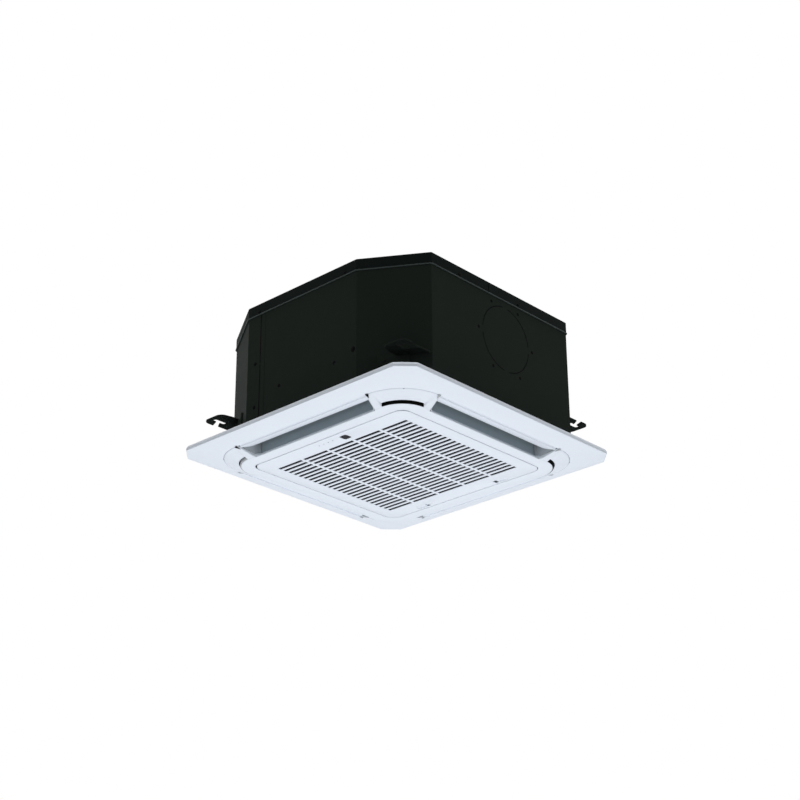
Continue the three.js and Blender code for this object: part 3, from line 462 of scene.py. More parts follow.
@dataclass(frozen=True)
class Finish:
    """A smooth moulded or painted surface with a little wander in colour and gloss."""

    slot: str
    colour: Colour
    roughness: float = 0.4
    metallic: float = 0.0
    specular: float = 0.5
    wander: float = 0.02  # how far the colour drifts
    wander_scale: float = 6.0  # drifts in each metre
    grain: float = 0.04  # depth of the fine texture, as a bump strength
    grain_scale: float = 1400.0
    variant: str = ""

    def material(self) -> bpy.types.Material:
        """Returns this finish as a material, made once."""
        name = "finish_" + self.slot + self.variant
        found = bpy.data.materials.get(name)
        if found:
            return found
        made = bpy.data.materials.new(name)
        made.use_nodes = True
        nodes = made.node_tree.nodes
        shader = nodes["Principled BSDF"]
        shader.inputs["Metallic"].default_value = self.metallic
        shader.inputs["Specular IOR Level"].default_value = self.specular
        place = nodes.new("ShaderNodeTexCoord").outputs["Object"]
        self.paint(made.node_tree, shader, place)
        return made

    def paint(self, tree: Tree, shader: bpy.types.Node, place: Socket) -> None:
        """Joins colour, gloss and grain to the shader.

        Args:
            tree: The material's nodes.
            shader: Its principled shader.
            place: Object coordinates.
        """
        drift = self.noise(tree, place, self.wander_scale, 3.0)
        tint = self.tinted(tree, drift, 1 - self.wander, 1 + self.wander)
        tree.links.new(tint, shader.inputs["Base Color"])
        sheen = self.noise(tree, place, self.wander_scale * 9, 2.0)
        gloss = self.between(tree, sheen, self.roughness * 0.94, min(self.roughness * 1.08, 1.0))
        tree.links.new(gloss, shader.inputs["Roughness"])
        self.emboss(tree, shader, self.noise(tree, place, self.grain_scale, 2.0), self.grain)

    def noise(self, tree: Tree, place: Socket, scale: float, detail: float) -> Socket:
        """Adds noise and returns its value."""
        node = tree.nodes.new("ShaderNodeTexNoise")
        node.inputs["Scale"].default_value = scale
        node.inputs["Detail"].default_value = detail
        tree.links.new(place, node.inputs["Vector"])
        return node.outputs["Fac"]

    def cells(self, tree: Tree, place: Socket, scale: float, feature: str = "F1") -> Socket:
        """Adds a cell pattern and returns its distance, or its colour when the feature is colour."""
        node = tree.nodes.new("ShaderNodeTexVoronoi")
        node.inputs["Scale"].default_value = scale
        tree.links.new(place, node.inputs["Vector"])
        return node.outputs["Color" if feature == "colour" else "Distance"]

    def between(self, tree: Tree, value: Socket, low: float, high: float) -> Socket:
        """Spreads a value of 0 to 1 between two numbers."""
        node = tree.nodes.new("ShaderNodeMapRange")
        node.inputs["To Min"].default_value = low
        node.inputs["To Max"].default_value = high
        tree.links.new(value, node.inputs["Value"])
        return node.outputs["Result"]

    def tinted(self, tree: Tree, value: Socket, low: float, high: float) -> Socket:
        """Returns the finish's colour, from darker to lighter as a value goes from 0 to 1."""
        node = tree.nodes.new("ShaderNodeMix")
        node.data_type = "RGBA"
        dark, light = ([min(c * f, 1.0) for c in self.colour] for f in (low, high))
        colour_a, colour_b = node.inputs[6], node.inputs[7]  # the node's two colour sockets
        colour_a.default_value = (*dark, 1.0)
        colour_b.default_value = (*light, 1.0)
        tree.links.new(value, node.inputs["Factor"])
        return node.outputs[2]

    def emboss(self, tree: Tree, shader: bpy.types.Node, height: Socket, strength: float) -> None:
        """Bumps the surface by a height."""
        node = tree.nodes.new("ShaderNodeBump")
        node.inputs["Strength"].default_value = strength
        node.inputs["Distance"].default_value = MM
        tree.links.new(height, node.inputs["Height"])
        tree.links.new(node.outputs["Normal"], shader.inputs["Normal"])


@dataclass(frozen=True)
class Spangled(Finish):
    """Galvanised sheet, with zinc crystals of different brightness."""

    spangle_scale: float = 90.0

    def paint(self, tree: Tree, shader: bpy.types.Node, place: Socket) -> None:
        """Joins the crystals to colour and gloss."""
        crystals = self.cells(tree, place, self.spangle_scale, "colour")
        tree.links.new(self.tinted(tree, crystals, 0.86, 1.08), shader.inputs["Base Color"])
        tree.links.new(self.between(tree, crystals, 0.28, 0.46), shader.inputs["Roughness"])
        self.emboss(tree, shader, self.noise(tree, place, self.grain_scale, 2.0), self.grain)


@dataclass(frozen=True)
class Beaded(Finish):
    """Foam, whose skin shows its closed cells or beads."""

    bead_scale: float = 260.0

    def paint(self, tree: Tree, shader: bpy.types.Node, place: Socket) -> None:
        """Joins the beads to colour and relief."""
        beads = self.cells(tree, place, self.bead_scale)
        tree.links.new(self.tinted(tree, beads, 1.06, 0.82), shader.inputs["Base Color"])
        tree.links.new(self.between(tree, beads, 0.86, 0.98), shader.inputs["Roughness"])
        self.emboss(tree, shader, beads, self.grain)


@dataclass(frozen=True)
class Net(Finish):
    """A fine woven net, drawn as two crossing sets of threads."""

    pitch: float = 2.2 * MM

    def paint(self, tree: Tree, shader: bpy.types.Node, place: Socket) -> None:
        """Joins the threads to colour and relief."""
        threads = []
        for direction in ("X", "Y"):
            wave = tree.nodes.new("ShaderNodeTexWave")
            wave.bands_direction = direction
            wave.inputs["Scale"].default_value = 0.314 / self.pitch
            tree.links.new(place, wave.inputs["Vector"])
            threads.append(wave.outputs["Fac"])
        woven = tree.nodes.new("ShaderNodeMath")
        woven.operation = "MAXIMUM"
        tree.links.new(threads[0], woven.inputs[0])
        tree.links.new(threads[1], woven.inputs[1])
        tree.links.new(self.tinted(tree, woven.outputs[0], 0.35, 1.9), shader.inputs["Base Color"])
        tree.links.new(self.between(tree, woven.outputs[0], 0.9, 0.6), shader.inputs["Roughness"])
        self.emboss(tree, shader, woven.outputs[0], self.grain)


class Finishes:
    """The finishes of the object's pieces."""

    PANEL = Finish("panel_white", (0.775, 0.831, 0.914), 0.42, specular=0.3, grain=0.03)
    # White plastic painted grey: painted shade on the duct walls, the inner frame and small parts deep in the panel.
    DUCT = Finish("shade_white", (0.32, 0.38, 0.41), 0.6, specular=0.15, grain=0.05)
    # The same white plastic in lighter painted shade, for the duct ends and the slots and gaps that catch more light.
    DUCT_END = Finish("shade_white", (0.40, 0.43, 0.455), 0.5, specular=0.2, grain=0.05, variant="_end")
    PAINT = Finish(
        "green_black_paint", (0.0170, 0.0225, 0.0185), 0.62, specular=0.02, wander=0.08, grain=0.12,
        grain_scale=700.0,
    )
    DARK_FOAM = Beaded("foam_dark", (0.02, 0.022, 0.025), 0.95, grain=0.4)
    PALE_FOAM = Beaded("foam_white", (0.72, 0.72, 0.70), 0.9, grain=0.3, bead_scale=210.0)
    PUMP = Finish("pump_plastic", (0.70, 0.70, 0.66), 0.45)
    DARK = Finish("dark_plastic", (0.018, 0.02, 0.023), 0.5, wander=0.06)
    ZINC = Spangled("galvanised", (0.52, 0.54, 0.56), 0.4, 0.85)
    STEEL = Finish("motor_steel", (0.48, 0.50, 0.52), 0.32, 0.9, wander=0.05, grain=0.06)
    FIN = Finish("fin_aluminium", (0.62, 0.64, 0.66), 0.36, 0.9, wander=0.04)
    COPPER = Finish("copper", (0.62, 0.28, 0.14), 0.28, 0.95, wander=0.12, wander_scale=30.0)
    BRASS = Finish("brass", (0.62, 0.44, 0.17), 0.26, 0.95, wander=0.06)
    BOARD = Finish("board_green", (0.02, 0.13, 0.05), 0.4, wander=0.1, wander_scale=160.0)
    RUBBER = Finish("grommet_rubber", (0.014, 0.014, 0.015), 0.8, grain=0.15)
    WINDOW = Finish("smoked_window", (0.010, 0.011, 0.016), 0.08, specular=0.6, grain=0.0)
    NET = Net("filter_mesh", (0.010, 0.013, 0.019), 0.85, specular=0.2, grain=0.6)
    # Panel white painted darker: painted shade on the turned-in lips of the outlets.
    LIP = Finish("panel_white", (0.60, 0.65, 0.69), 0.45, specular=0.3, variant="_lip")
    SCREW = Finish("galvanised", (0.0045, 0.005, 0.005), 0.6, 0.0, specular=0.04, variant="_screw")
    # Body paint made darker: painted shade on the lid.
    LID = Finish("green_black_paint", (0.0088, 0.0122, 0.0113), 0.6, specular=0.02, variant="_lid")
    # Body paint made lighter: painted highlight along the lid's rolled hem.
    HEM = Finish("green_black_paint", (0.040, 0.054, 0.052), 0.5, specular=0.2, variant="_hem")
    # Near black: painted shade inside the corner slots, gaps and holes, and the dark joints of the casing.
    DEEP = Finish("dark_plastic", (0.0022, 0.0024, 0.0024), 0.8, specular=0.05, variant="_deep")
    MARK = Finish("dark_plastic", (0.10, 0.12, 0.14), 0.5, variant="_mark")


def dress_node(frame: dict, node: str, finish: Finish) -> None:
    """Gives a node of the frame its finish, without touching its mesh."""
    shown = frame["nodes"][node]
    if not shown.material_slots:
        shown.data.materials.append(finish.material())
    for slot in shown.material_slots:
        slot.material = finish.material()
    log.info("%s: dressed as %s", node, finish.slot)


# ---------- camera, floor and light ----------


@dataclass(frozen=True)
class View:
    """The camera that the photograph was taken with, found by fitting it to the panel."""

    azimuth: float = -47.907  # degrees, as are the next two
    elevation: float = -24.832
    roll: float = -0.684
    distance: float = 3781.8  # millimetres, as are the next three
    aim: Spot = (0.0, 0.0, 90.0)
    across: float = -53.43
    up: float = -50.64
    focal_pixels: float = 1797.94
    centre_pixels: tuple[float, float] = (422.54, 388.52)
    sensor: float = 36.0

    def build(self) -> None:
        """Places the camera and makes it the scene's."""
        azimuth, elevation, roll = (math.radians(a) for a in (self.azimuth, self.elevation, self.roll))
        flat = math.cos(elevation)
        back = Vector((math.sin(azimuth) * flat, -math.cos(azimuth) * flat, math.sin(elevation)))
        level = Vector((math.cos(azimuth), math.sin(azimuth), 0.0))
        upright = back.cross(level)
        right = math.cos(roll) * level + math.sin(roll) * upright
        top = -math.sin(roll) * level + math.cos(roll) * upright
        spot = Vector(self.aim) - self.across * right - self.up * top + self.distance * back
        lens = bpy.data.cameras.new("camera")
        lens.sensor_width = self.sensor
        lens.lens = self.focal_pixels / IMAGE * self.sensor
        lens.shift_x = (IMAGE / 2 - self.centre_pixels[0]) / IMAGE
        lens.shift_y = (self.centre_pixels[1] - IMAGE / 2) / IMAGE
        lens.clip_end = 50.0
        camera = bpy.data.objects.new("camera", lens)
        bpy.context.scene.collection.objects.link(camera)
        turned = Matrix((right, top, back)).transposed().to_4x4()
        camera.matrix_world = Matrix.Translation(spot * MM) @ turned
        bpy.context.scene.camera = camera


@dataclass(frozen=True)
class Lamp:
    """A soft area lamp that looks at the panel."""

    name: str
    place: Spot  # metres
    size: float  # metres
    watts: float
    colour: Colour = (1.0, 1.0, 1.0)

    def build(self) -> None:
        """Hangs the lamp."""
        light = bpy.data.lights.new(self.name, "AREA")
        light.shape = "SQUARE"
        light.size = self.size
        light.energy = self.watts
        light.color = self.colour
        lamp = bpy.data.objects.new(self.name, light)
        bpy.context.scene.collection.objects.link(lamp)
        lamp.location = self.place
        towards = -Vector(self.place)
        lamp.rotation_euler = towards.to_track_quat("-Z", "Y").to_euler()
        lamp.visible_camera = False
        lamp.visible_glossy = False


@dataclass(frozen=True)
class Studio:
    """Plain pale floor, white background and soft lamps."""

    floor_z: float = -2.6  # metres
    floor_size: float = 60.0
    ambient: float = 0.10
    lamps: tuple[Lamp, ...] = (
        Lamp("under", (0.05, 0.05, -2.2), 3.4, 53.0),
        Lamp("over", (0.5, 0.5, 2.8), 2.4, 150.0),
        Lamp("left", (-3.2, 0.6, 0.6), 1.6, 21.0),
        Lamp("right", (0.9, -3.2, 0.7), 1.6, 27.0),
    )

    def build(self) -> None:
        """Sets up the world, the floor and the lamps."""
        bpy.context.scene.view_settings.view_transform = "Standard"
        self.world()
        self.floor()
        for lamp in self.lamps:
            lamp.build()

    def white_to_eye(self, tree: Tree) -> Socket:
        """Returns 1 for rays that come from the camera or by way of gloss or glass."""
        path = tree.nodes.new("ShaderNodeLightPath")
        seen = path.outputs["Is Camera Ray"]
        for name in ("Is Glossy Ray", "Is Transmission Ray"):
            node = tree.nodes.new("ShaderNodeMath")
            node.operation = "MAXIMUM"
            tree.links.new(seen, node.inputs[0])
            tree.links.new(path.outputs[name], node.inputs[1])
            seen = node.outputs[0]
        return seen

    def world(self) -> None:
        """White background that lights the object only a little."""
        world = bpy.data.worlds.new("studio")
        bpy.context.scene.world = world
        world.use_nodes = True
        tree = world.node_tree
        backdrop = tree.nodes["Background"]
        backdrop.inputs["Color"].default_value = (1.0, 1.0, 1.0, 1.0)
        strength = tree.nodes.new("ShaderNodeMapRange")
        strength.inputs["To Min"].default_value = self.ambient
        strength.inputs["To Max"].default_value = 1.0
        tree.links.new(self.white_to_eye(tree), strength.inputs["Value"])
        tree.links.new(strength.outputs["Result"], backdrop.inputs["Strength"])

    def floor(self) -> None:
        """Pale floor far below, which keeps the object's shadow."""
        bm = bmesh.new()
        bmesh.ops.create_grid(bm, x_segments=1, y_segments=1, size=self.floor_size / 2)
        bmesh.ops.translate(bm, vec=(0, 0, self.floor_z), verts=bm.verts)
        data = bpy.data.meshes.new("floor")
        bm.to_mesh(data)
        bm.free()
        paint = bpy.data.materials.new("floor_paint")
        paint.use_nodes = True
        shader = paint.node_tree.nodes["Principled BSDF"]
        shader.inputs["Base Color"].default_value = (0.86, 0.87, 0.88, 1.0)
        shader.inputs["Roughness"].default_value = 0.9
        data.materials.append(paint)
        made = bpy.data.objects.new("floor", data)
        bpy.context.scene.collection.objects.link(made)


# ---------- panel ----------


@dataclass(frozen=True)
class Fascia:
    """The white moulded panel: sloping outer ring, flat middle, air ducts and the collar of the intake."""

    half: float = 323.5
    chamfer: float = 31.0
    centre: float = 187.0  # the rounded steps turn about (187, 187)
    face: float = -36.0
    outlet_outer: float = 282.0
    outlet_inner: float = 241.0
    end_half: float = 168.0  # half length of an outlet at its inner edge
    end_slant: float = 13.5 / 41
    corner_steps: int = 28
    wall: float = 2.5
    duct_top: float = 14.0
    body: str = "casing"

    def build(self) -> None:
        """Makes every piece of the panel."""
        self.ring().finish("fascia_ring", Finishes.PANEL, self.body, ("panel_frame",))
        self.middle().finish("fascia_middle", Finishes.PANEL, self.body)
        # The inner frame, duct walls, duct ends, lips and pivot plates wear white plastic in painted shade.
        self.frame_inside().finish("fascia_inner_frame", Finishes.DUCT, self.body)
        self.lips().finish("outlet_lips", Finishes.LIP, self.body)
        self.ducts(False).finish("duct_inner_walls", Finishes.DUCT, self.body)
        self.ducts(True).finish("duct_end_walls", Finishes.DUCT_END, self.body)
        self.hinge_lugs().finish("grille_hinge_lugs", Finishes.PANEL, self.body)
        self.pivot_plates().finish("louver_pivot_plates", Finishes.DUCT, self.body)

    def swept_square(self, section: Sequence[Corner]) -> Workpiece:
        """Takes a section round the panel: four straight runs joined by four arcs.

        Args:
            section: Distance from the panel's axis, height and rounding of each corner of the section.

        Returns:
            The closed ring.
        """
        piece = Workpiece.sheet(section, 0.0, 4).turn(90, "X").shift(y=-self.centre)
        bmesh.ops.delete(piece.mesh, geom=list(piece.mesh.faces), context="FACES_ONLY")
        chain = list(piece.mesh.edges)
        for side in Side:
            turned = Matrix.Rotation(side.value * math.pi / 2, 3, "Z")
            chain = piece.draw_out(chain, turned @ Vector((0, 2 * self.centre, 0)))
            verts = list({v for e in chain for v in e.verts})
            pivot = turned @ Vector((self.centre, self.centre, 0))
            chain = piece.spin_out(verts + chain, pivot, 90.0, self.corner_steps)
        return piece.sealed()

    def to_octagon(self, place: Vector) -> Vector:
        """Moves a point of the ring outwards so that the rim ends on the panel's eight-sided outline."""
        dx, dy = abs(place.x) - self.centre, abs(place.y) - self.centre
        radius = math.hypot(max(dx, 0.0), max(dy, 0.0))
        reach = self.outlet_outer - self.centre
        if radius <= reach + 3.0 or dx < -0.01 or dy < -0.01:
            return place
        angle = math.atan2(max(dy, 0.0), max(dx, 0.0))
        along = angle / (math.pi / 2)
        share = (radius - reach) / (self.half - self.outlet_outer)
        round_point = Vector((math.cos(angle), math.sin(angle))) * reach + Vector((self.centre, self.centre))
        rim_point = Vector((self.half - self.chamfer * along, self.half - self.chamfer * (1 - along)))
        moved = round_point.lerp(rim_point, share)
        return Vector((math.copysign(moved.x, place.x), math.copysign(moved.y, place.y), place.z))

    def ring(self) -> Workpiece:
        """Outer ring with its sloping underside and its rim."""
        section = (
            (282.0, -20.06, 0.7), (323.5, -10.0, 1.0), (323.5, -5.0, 0.3), (321.9, 0.0, 0.4),
            (315.5, 0.0, 0.4), (315.5, -9.44, 0), (284.5, -16.9, 0), (284.5, 6.5, 0), (282.0, 6.5, 0),
        )
        return self.swept_square(section).move_points(self.to_octagon)

    def middle_outline(self) -> list[Corner]:
        """Outline of the flat middle, whose corners bulge to meet the corner covers."""
        radius, steps = 58.5, 6
        reach = self.outlet_inner - self.centre
        start = math.sqrt(radius**2 - reach**2)  # where the bulge leaves the straight edge
        first = -math.atan2(start, reach)
        turn = (math.pi / 2 - 2 * first) / steps
        bulge = [(self.outlet_inner, self.centre - start, 0.0)]
        for step in range(steps):
            angle = first + (step + 0.5) * turn
            spot = Vector((math.cos(angle), math.sin(angle))) * (radius / math.cos(turn / 2))
            bulge.append((self.centre + spot.x, self.centre + spot.y, radius))
        bulge.append((self.centre - start, self.outlet_inner, 0.0))
        corners: list[Corner] = []
        for side in Side:
            turned = Matrix.Rotation(side.value * math.pi / 2, 2)
            for x, y, r in bulge:
                spot = turned @ Vector((x, y))
                corners.append((spot.x, spot.y, r))
        return corners

    def intake(self, by: float = 0.0) -> list[Corner]:
        """Outline of the opening for the grille, with tighter corners at its hinge side."""
        half = 213.0 + by
        hinge, latch = 19.0 + by, 22.0 + by
        return [(-half, -half, hinge), (half, -half, latch), (half, half, latch), (-half, half, hinge)]

    def middle(self) -> Workpiece:
        """Flat plate round the intake grille."""
        plate = Workpiece.washer(self.middle_outline(), [self.intake(0.8)], self.face, self.face + 1.8, 5)
        return plate.ease(0.5, 3, under(self.face + 0.01))

    def frame_inside(self) -> Workpiece:
        """Collar, deck, ribs and inner wall, which show when the grille hangs open."""
        opening = square_of(218, 25)
        collar = Workpiece.washer(square_of(220.5, 27.5), [opening], self.face + 1.85, 4.0, 12)
        wall = Workpiece.washer(square_of(233, 46), [square_of(230.5, 43.5)], self.face + 1.85, 4.0, 12)
        deck = Workpiece.washer(square_of(241, 54), [opening], 4.05, 6.5, 12)
        corner = [(187, 241.2, 0), (241.2, 187, 0), (282, 187, 0), (282, 282, 95), (187, 282, 0)]
        low = self.face + 2
        ribs = [Workpiece.block((220.5, y - 1, low), (230.5, y + 1, 4.0)) for y in range(-165, 166, 55)]
        walls = Workpiece().join(*ribs, Workpiece.plate(corner, 4.05, 6.5, 20)).four_ways()
        return collar.join(wall, deck, walls)

    def end_line(self, x: float) -> float:
        """Half length of an outlet at a distance from the axis."""
        return self.end_half + (x - self.outlet_inner) * self.end_slant

    def outlet_path(self, inner: float, outer: float, z: float, radius: float) -> Workpiece:
        """Open line round the inner side and both ends of the outlet at +X."""
        piece = Workpiece()
        bm = piece.mesh
        a, b = self.end_line(inner), self.end_line(outer)
        verts = [bm.verts.new(p) for p in ((outer, b, z), (inner, a, z), (inner, -a, z), (outer, -b, z))]
        for first, second in zip(verts, verts[1:]):
            bm.edges.new((first, second))
        bend = math.pi / 2 + math.atan(self.end_slant)
        for vert in verts[1:3]:
            piece.round_corner(vert, radius / math.tan(bend / 2), 10)
        return piece

    def lips(self) -> Workpiece:
        """Turned-in strip along the inner side of each outlet, which dies out round its corners."""
        piece = self.outlet_path(self.outlet_inner, 281.9, self.face, 14.0)
        for vert in piece.mesh.verts:
            vert.co.z = self.face + 0.5 + max(0.0, vert.co.x - self.outlet_inner - 0.05) * 0.39
        grown_edges = piece.draw_out(list(piece.mesh.edges), (0.0, 0.0, 0.0))
        for vert in {v for e in grown_edges for v in e.verts}:
            near = max(0.0, 1.0 - (vert.co.x - self.outlet_inner) / 15.0)
            vert.co.x -= 5.6 * near
            vert.co.y -= math.copysign(1.8 * near, vert.co.y)
            vert.co.z += 1.2 + 5.8 * near
        return piece.walled(1.2).four_ways()

    def duct(self) -> Workpiece:
        """Wall of the air duct at +X above its lip: the inner side and both ends."""
        piece = self.outlet_path(233.05, 281.9, -33.0, 5.0)
        for vert in piece.mesh.verts:
            vert.co.z = max(vert.co.z, -36.0 + 3.4 + max(0.0, vert.co.x - self.outlet_inner) * 0.39)
        top = piece.draw_out(list(piece.mesh.edges), (0.0, 0.0, 30.0))
        for vert in {v for e in top for v in e.verts}:
            vert.co.z = self.duct_top
        return piece

    def ducts(self, ends: bool) -> Workpiece:
        """Inner sides of the four ducts in darker painted shade, or their ends in paler painted shade.

        Args:
            ends: True for the ends, False for the inner sides.

        Returns:
            The walls.
        """
        piece = self.duct()
        bm = piece.mesh
        other = [f for f in bm.faces if (f.calc_center_median().x > 233.2) != ends]
        bmesh.ops.delete(bm, geom=other, context="FACES")
        return piece.walled(self.wall - 0.3).four_ways()

    def hinge_lugs(self) -> Workpiece:
        """Eyes on the display side that hold the grille's pins."""
        lugs = Workpiece()
        for y in (-150.0, 150.0):
            eye = Workpiece.turned([(1.9, 0, 0.2), (2.9, 0, 0.3), (2.9, 4, 0.3), (1.9, 4, 0.2)], 24, 2)
            eye.turn(-90, "X").shift(-195, y - 2, -30.2)
            arm = Workpiece.block((-193.2, y - 2, -29.0), (-191, y + 2, 4), 0.4)
            web = Workpiece.block((-232, y - 1.9, -10), (-193.4, y + 1.9, 3.9), 0.4)
            lugs.join(eye, arm, web)
        return lugs

    def pivot_plates(self) -> Workpiece:
        """Small plates at both ends of each outlet that carry the louver's motor and bush."""
        motor = Workpiece.block((259, 183.4, -12.6), (281.9, 186.5, 4.0), 0.5)
        bush = Workpiece.block((268, -184.6, -12.6), (281.9, -183.1, 4.0), 0.4)
        return motor.join(bush).four_ways()


@dataclass(frozen=True)
class CornerCover:
    """Removable cover at each corner, with a curved slot that lets out a little air."""

    centre: float = 187.0
    inner: float = 58.8
    slot: float = 63.2  # radius where the cover starts inside the slot
    outer: float = 94.3
    edge_z: float = -20.06
    fall: float = 0.315
    slot_start: float = 3.2  # degrees from each end
    thickness: float = 2.3
    steps: int = 40
    fractions: tuple[float, ...] = (0.0, 0.02, 0.06, 0.12, 0.2, 0.3, 0.4, 0.55, 0.7, 0.85, 1.0)
    body: str = "casing"

    def build(self) -> None:
        """Makes the four covers, the strips in their slots, and the gaps and notches at their edges.

        The strips and gaps are painted shade: the strip is paler at rear_left, and the gaps are darker at front_left.
        """
        for side in Side:
            turned, node = self.cover().turn(90.0 * side.value), f"corner_cover_{side.corner}"
            turned.finish(f"corner_shell_{side.corner}", Finishes.PANEL, self.body, (node,))
        for side in Side:
            angle = 90.0 * side.value
            # Near-black painted shade in the slots and gaps, and lighter painted shade where less shade falls.
            strip = Finishes.DUCT_END if side.corner == "rear_left" else Finishes.DEEP
            self.foam().turn(angle).finish(f"slot_foam_{side.corner}", strip, self.body)
            gap = Finishes.DEEP if side.corner == "front_left" else Finishes.DUCT_END
            self.gaps().turn(angle).finish(f"cover_gaps_{side.corner}", gap, self.body)
        # The notches wear white plastic in painted shade.
        self.prise_mark().four_ways().finish("prise_marks", Finishes.DUCT, self.body)

    def height(self, radius: float, angle: float) -> float:
        """Height of the cover: it falls steadily beside the slot, and runs down to the flat middle past it.

        Args:
            radius: Distance from the corner centre.
            angle: Degrees round it, from 0 to 90.

        Returns:
            Height of the outer surface.
        """
        out = self.outer + 0.3 - radius
        beside_slot = self.edge_z - out * self.fall
        closed = self.edge_z - (36.0 + self.edge_z) * out / (self.outer + 0.3 - self.inner)
        from_end = min(angle, 90.0 - angle)
        share = min(max((from_end - 1.8) / 3.6, 0.0), 1.0)
        share = share * share * (3 - 2 * share)
        return closed * (1 - share) + beside_slot * share

    def outlet_edge(self, x: float) -> float:
        """Where the end of the outlet lies, a little past its wall, at a distance from the axis."""
        if x >= 250.6:
            return 168.0 + (x - 241.0) * 0.329 + 0.5
        return 157.9 + math.sqrt(max(196.0 - (255.0 - x) ** 2, 0.0)) + 0.5

    def cover(self) -> Workpiece:
        """Cover of the corner at +X +Y."""
        piece = Workpiece()
        bm = piece.mesh
        radii = [self.inner + (self.outer - self.inner) * f for f in self.fractions]
        verts = [bm.verts.new((self.centre + r, self.centre, 0.0)) for r in radii]
        edges = [bm.edges.new(pair) for pair in zip(verts, verts[1:])]
        last = piece.spin_out(verts + edges, (self.centre, self.centre, 0), 90.0, self.steps)
        for vert in bm.verts:
            self.settle(vert.co)
        self.draw_to_outlet(piece, edges, 1)
        self.draw_to_outlet(piece, last, 0)
        piece.sealed()
        return self.shell(piece)

    def settle(self, place: Vector) -> None:
        """Drops a point of the quarter ring onto the cover's surface, clear of the slot."""
        dx, dy = place.x - self.centre, place.y - self.centre
        radius, angle = math.hypot(dx, dy), math.degrees(math.atan2(dy, dx))
        if self.slot_start < angle < 90.0 - self.slot_start:
            share = (radius - self.inner) / (self.outer - self.inner)
            radius = self.slot + share * (self.outer - self.slot)
        place.x = self.centre + radius * math.cos(math.radians(angle))
        place.y = self.centre + radius * math.sin(math.radians(angle))
        place.z = self.height(radius, angle)

    def draw_to_outlet(self, piece: Workpiece, edges: list[Edge], along: int) -> None:
        """Carries an end of the quarter ring on, in six steps, to the rounded and slanted end of the outlet.

        Args:
            piece: The cover.
            edges: Edges at that end of the ring.
            along: 1 to go towards -Y, 0 to go towards -X.
        """
        across = 1 - along
        rim = self.centre + self.outer
        for step in range(1, 7):
            edges = piece.draw_out(edges, (0.0, 0.0, 0.0))
            for vert in {v for e in edges for v in e.verts}:
                base = self.inner_line(vert.co[along])
                share = (rim - vert.co[across]) / (rim - base)
                goal = self.outlet_edge(max(vert.co[across], 241.3))
                vert.co[along] += (goal - vert.co[along]) / (7 - step)
                base = self.inner_line(vert.co[along])
                vert.co[across] = rim - share * (rim - base)
                reach = rim - base
                vert.co.z = self.edge_z - (36.0 + self.edge_z) * (share * reach + 0.3) / (reach + 0.3)

    def inner_line(self, y: float) -> float:
        """Where the flat middle's edge lies beside the cover."""
        return max(241.3, self.centre + math.sqrt(max(self.inner**2 - (self.centre - y) ** 2, 0.0)))

    def shell(self, piece: Workpiece) -> Workpiece:
        """Gives the surface its thickness and a rounded edge."""
        for face in piece.mesh.faces:
            if face.normal.z > 0:
                face.normal_flip()
        return piece.thicken(self.thickness).ease(0.45, 2, angle=60.0)

    def gaps(self) -> Workpiece:
        """Thin sheets that paint the shade in the gaps where the cover's outer corners are cut back beside the
        louvers.
        """
        outline = [(273.0, 181.0, 0.0), (285.4, 181.8, 0.4), (283.4, 189.0, 0.4)]
        gap = Workpiece.plate(outline, 0.0, 0.3, 2)
        gap.move_points(lambda p: Vector((p.x, p.y, p.z - 21.2 - (284.0 - p.x) * 0.27)))
        return gap.join(gap.copy().flip(y=-1.0))

    def prise_mark(self) -> Workpiece:
        """Shallow notch for prising the cover off, in the middle of its outer edge."""
        mark = Workpiece.block((self.outer - 0.6, -1.6, -20.9), (self.outer + 1.0, 1.6, -20.1), 0.2, 1)
        return mark.turn(45.0).shift(self.centre, self.centre)

    def foam(self) -> Workpiece:
        """Plain strip inside the slot, which paints the shade there."""
        section = ((58.7, -35.4), (60.8, -34.6), (60.8, -14.0), (58.7, -14.0))
        strip = Workpiece.swept(section, 90.0 - 2 * self.slot_start, 24)
        return strip.turn(self.slot_start).shift(self.centre, self.centre)


@dataclass(frozen=True)
class Louver:
    """Swinging blade in each outlet, shown turned open by 46 degrees."""

    pivot: tuple[float, float] = (277.5, -15.2)
    opened: float = 46.0
    short_half: float = 166.0
    inner: float = 242.6
    outer: float = 281.0
    edge_z: float = -20.4  # outer edge of the closed blade
    drop: float = 15.3  # from there to its inner edge
    crown: float = 3.3

    def build(self) -> None:
        """Makes the four louvers with their pins."""
        for side in Side:
            blade = self.blade()
            blade.turn(self.opened, "Y", (self.pivot[0], 0.0, self.pivot[1])).turn(90.0 * side.value)
            name = f"louver_{side.label}"
            blade.finish(f"blade_{side.label}", Finishes.PANEL, f"{side.label}_louver", (name,))

    def blade(self) -> Workpiece:
        """Closed blade of the outlet at +X with the bead along its outer edge and its two pins."""
        plan = [
            (self.inner, -self.short_half, 13.0), (self.outer, -179.2, 1.0), (self.outer, 179.2, 1.0),
            (self.inner, self.short_half, 13.0),
        ]
        blade = Workpiece.plate(plan, 0.0, 2.6, 12)
        for x in (244, 247, 250, 254, 258, 262, 266, 270, 274, 278):
            blade.bisect((x, 0, 0), (1, 0, 0))

        def bend(place: Vector) -> Vector:
            """Slopes the blade as it closes the outlet, with a slight crown across it."""
            share = (self.outer - place.x) / (self.outer - 241.8)
            crown = self.crown * math.sin(math.pi * min(max(share, 0.0), 1.0))
            thin = 1.0 - 0.25 * share
            return Vector((place.x, place.y, self.edge_z - self.drop * share - crown + place.z * thin))

        blade.move_points(bend).ease(0.7, 3, angle=50.0)
        bead = Workpiece.rod(4.1, 356.0, 28, 0.8).turn(-90, "X").shift(self.pivot[0], -178.0, self.pivot[1])
        pin = Workpiece.rod(1.9, 376.1, 20, 0.4).turn(-90, "X").shift(self.pivot[0], -189.5, self.pivot[1])
        return blade.join(bead, pin)


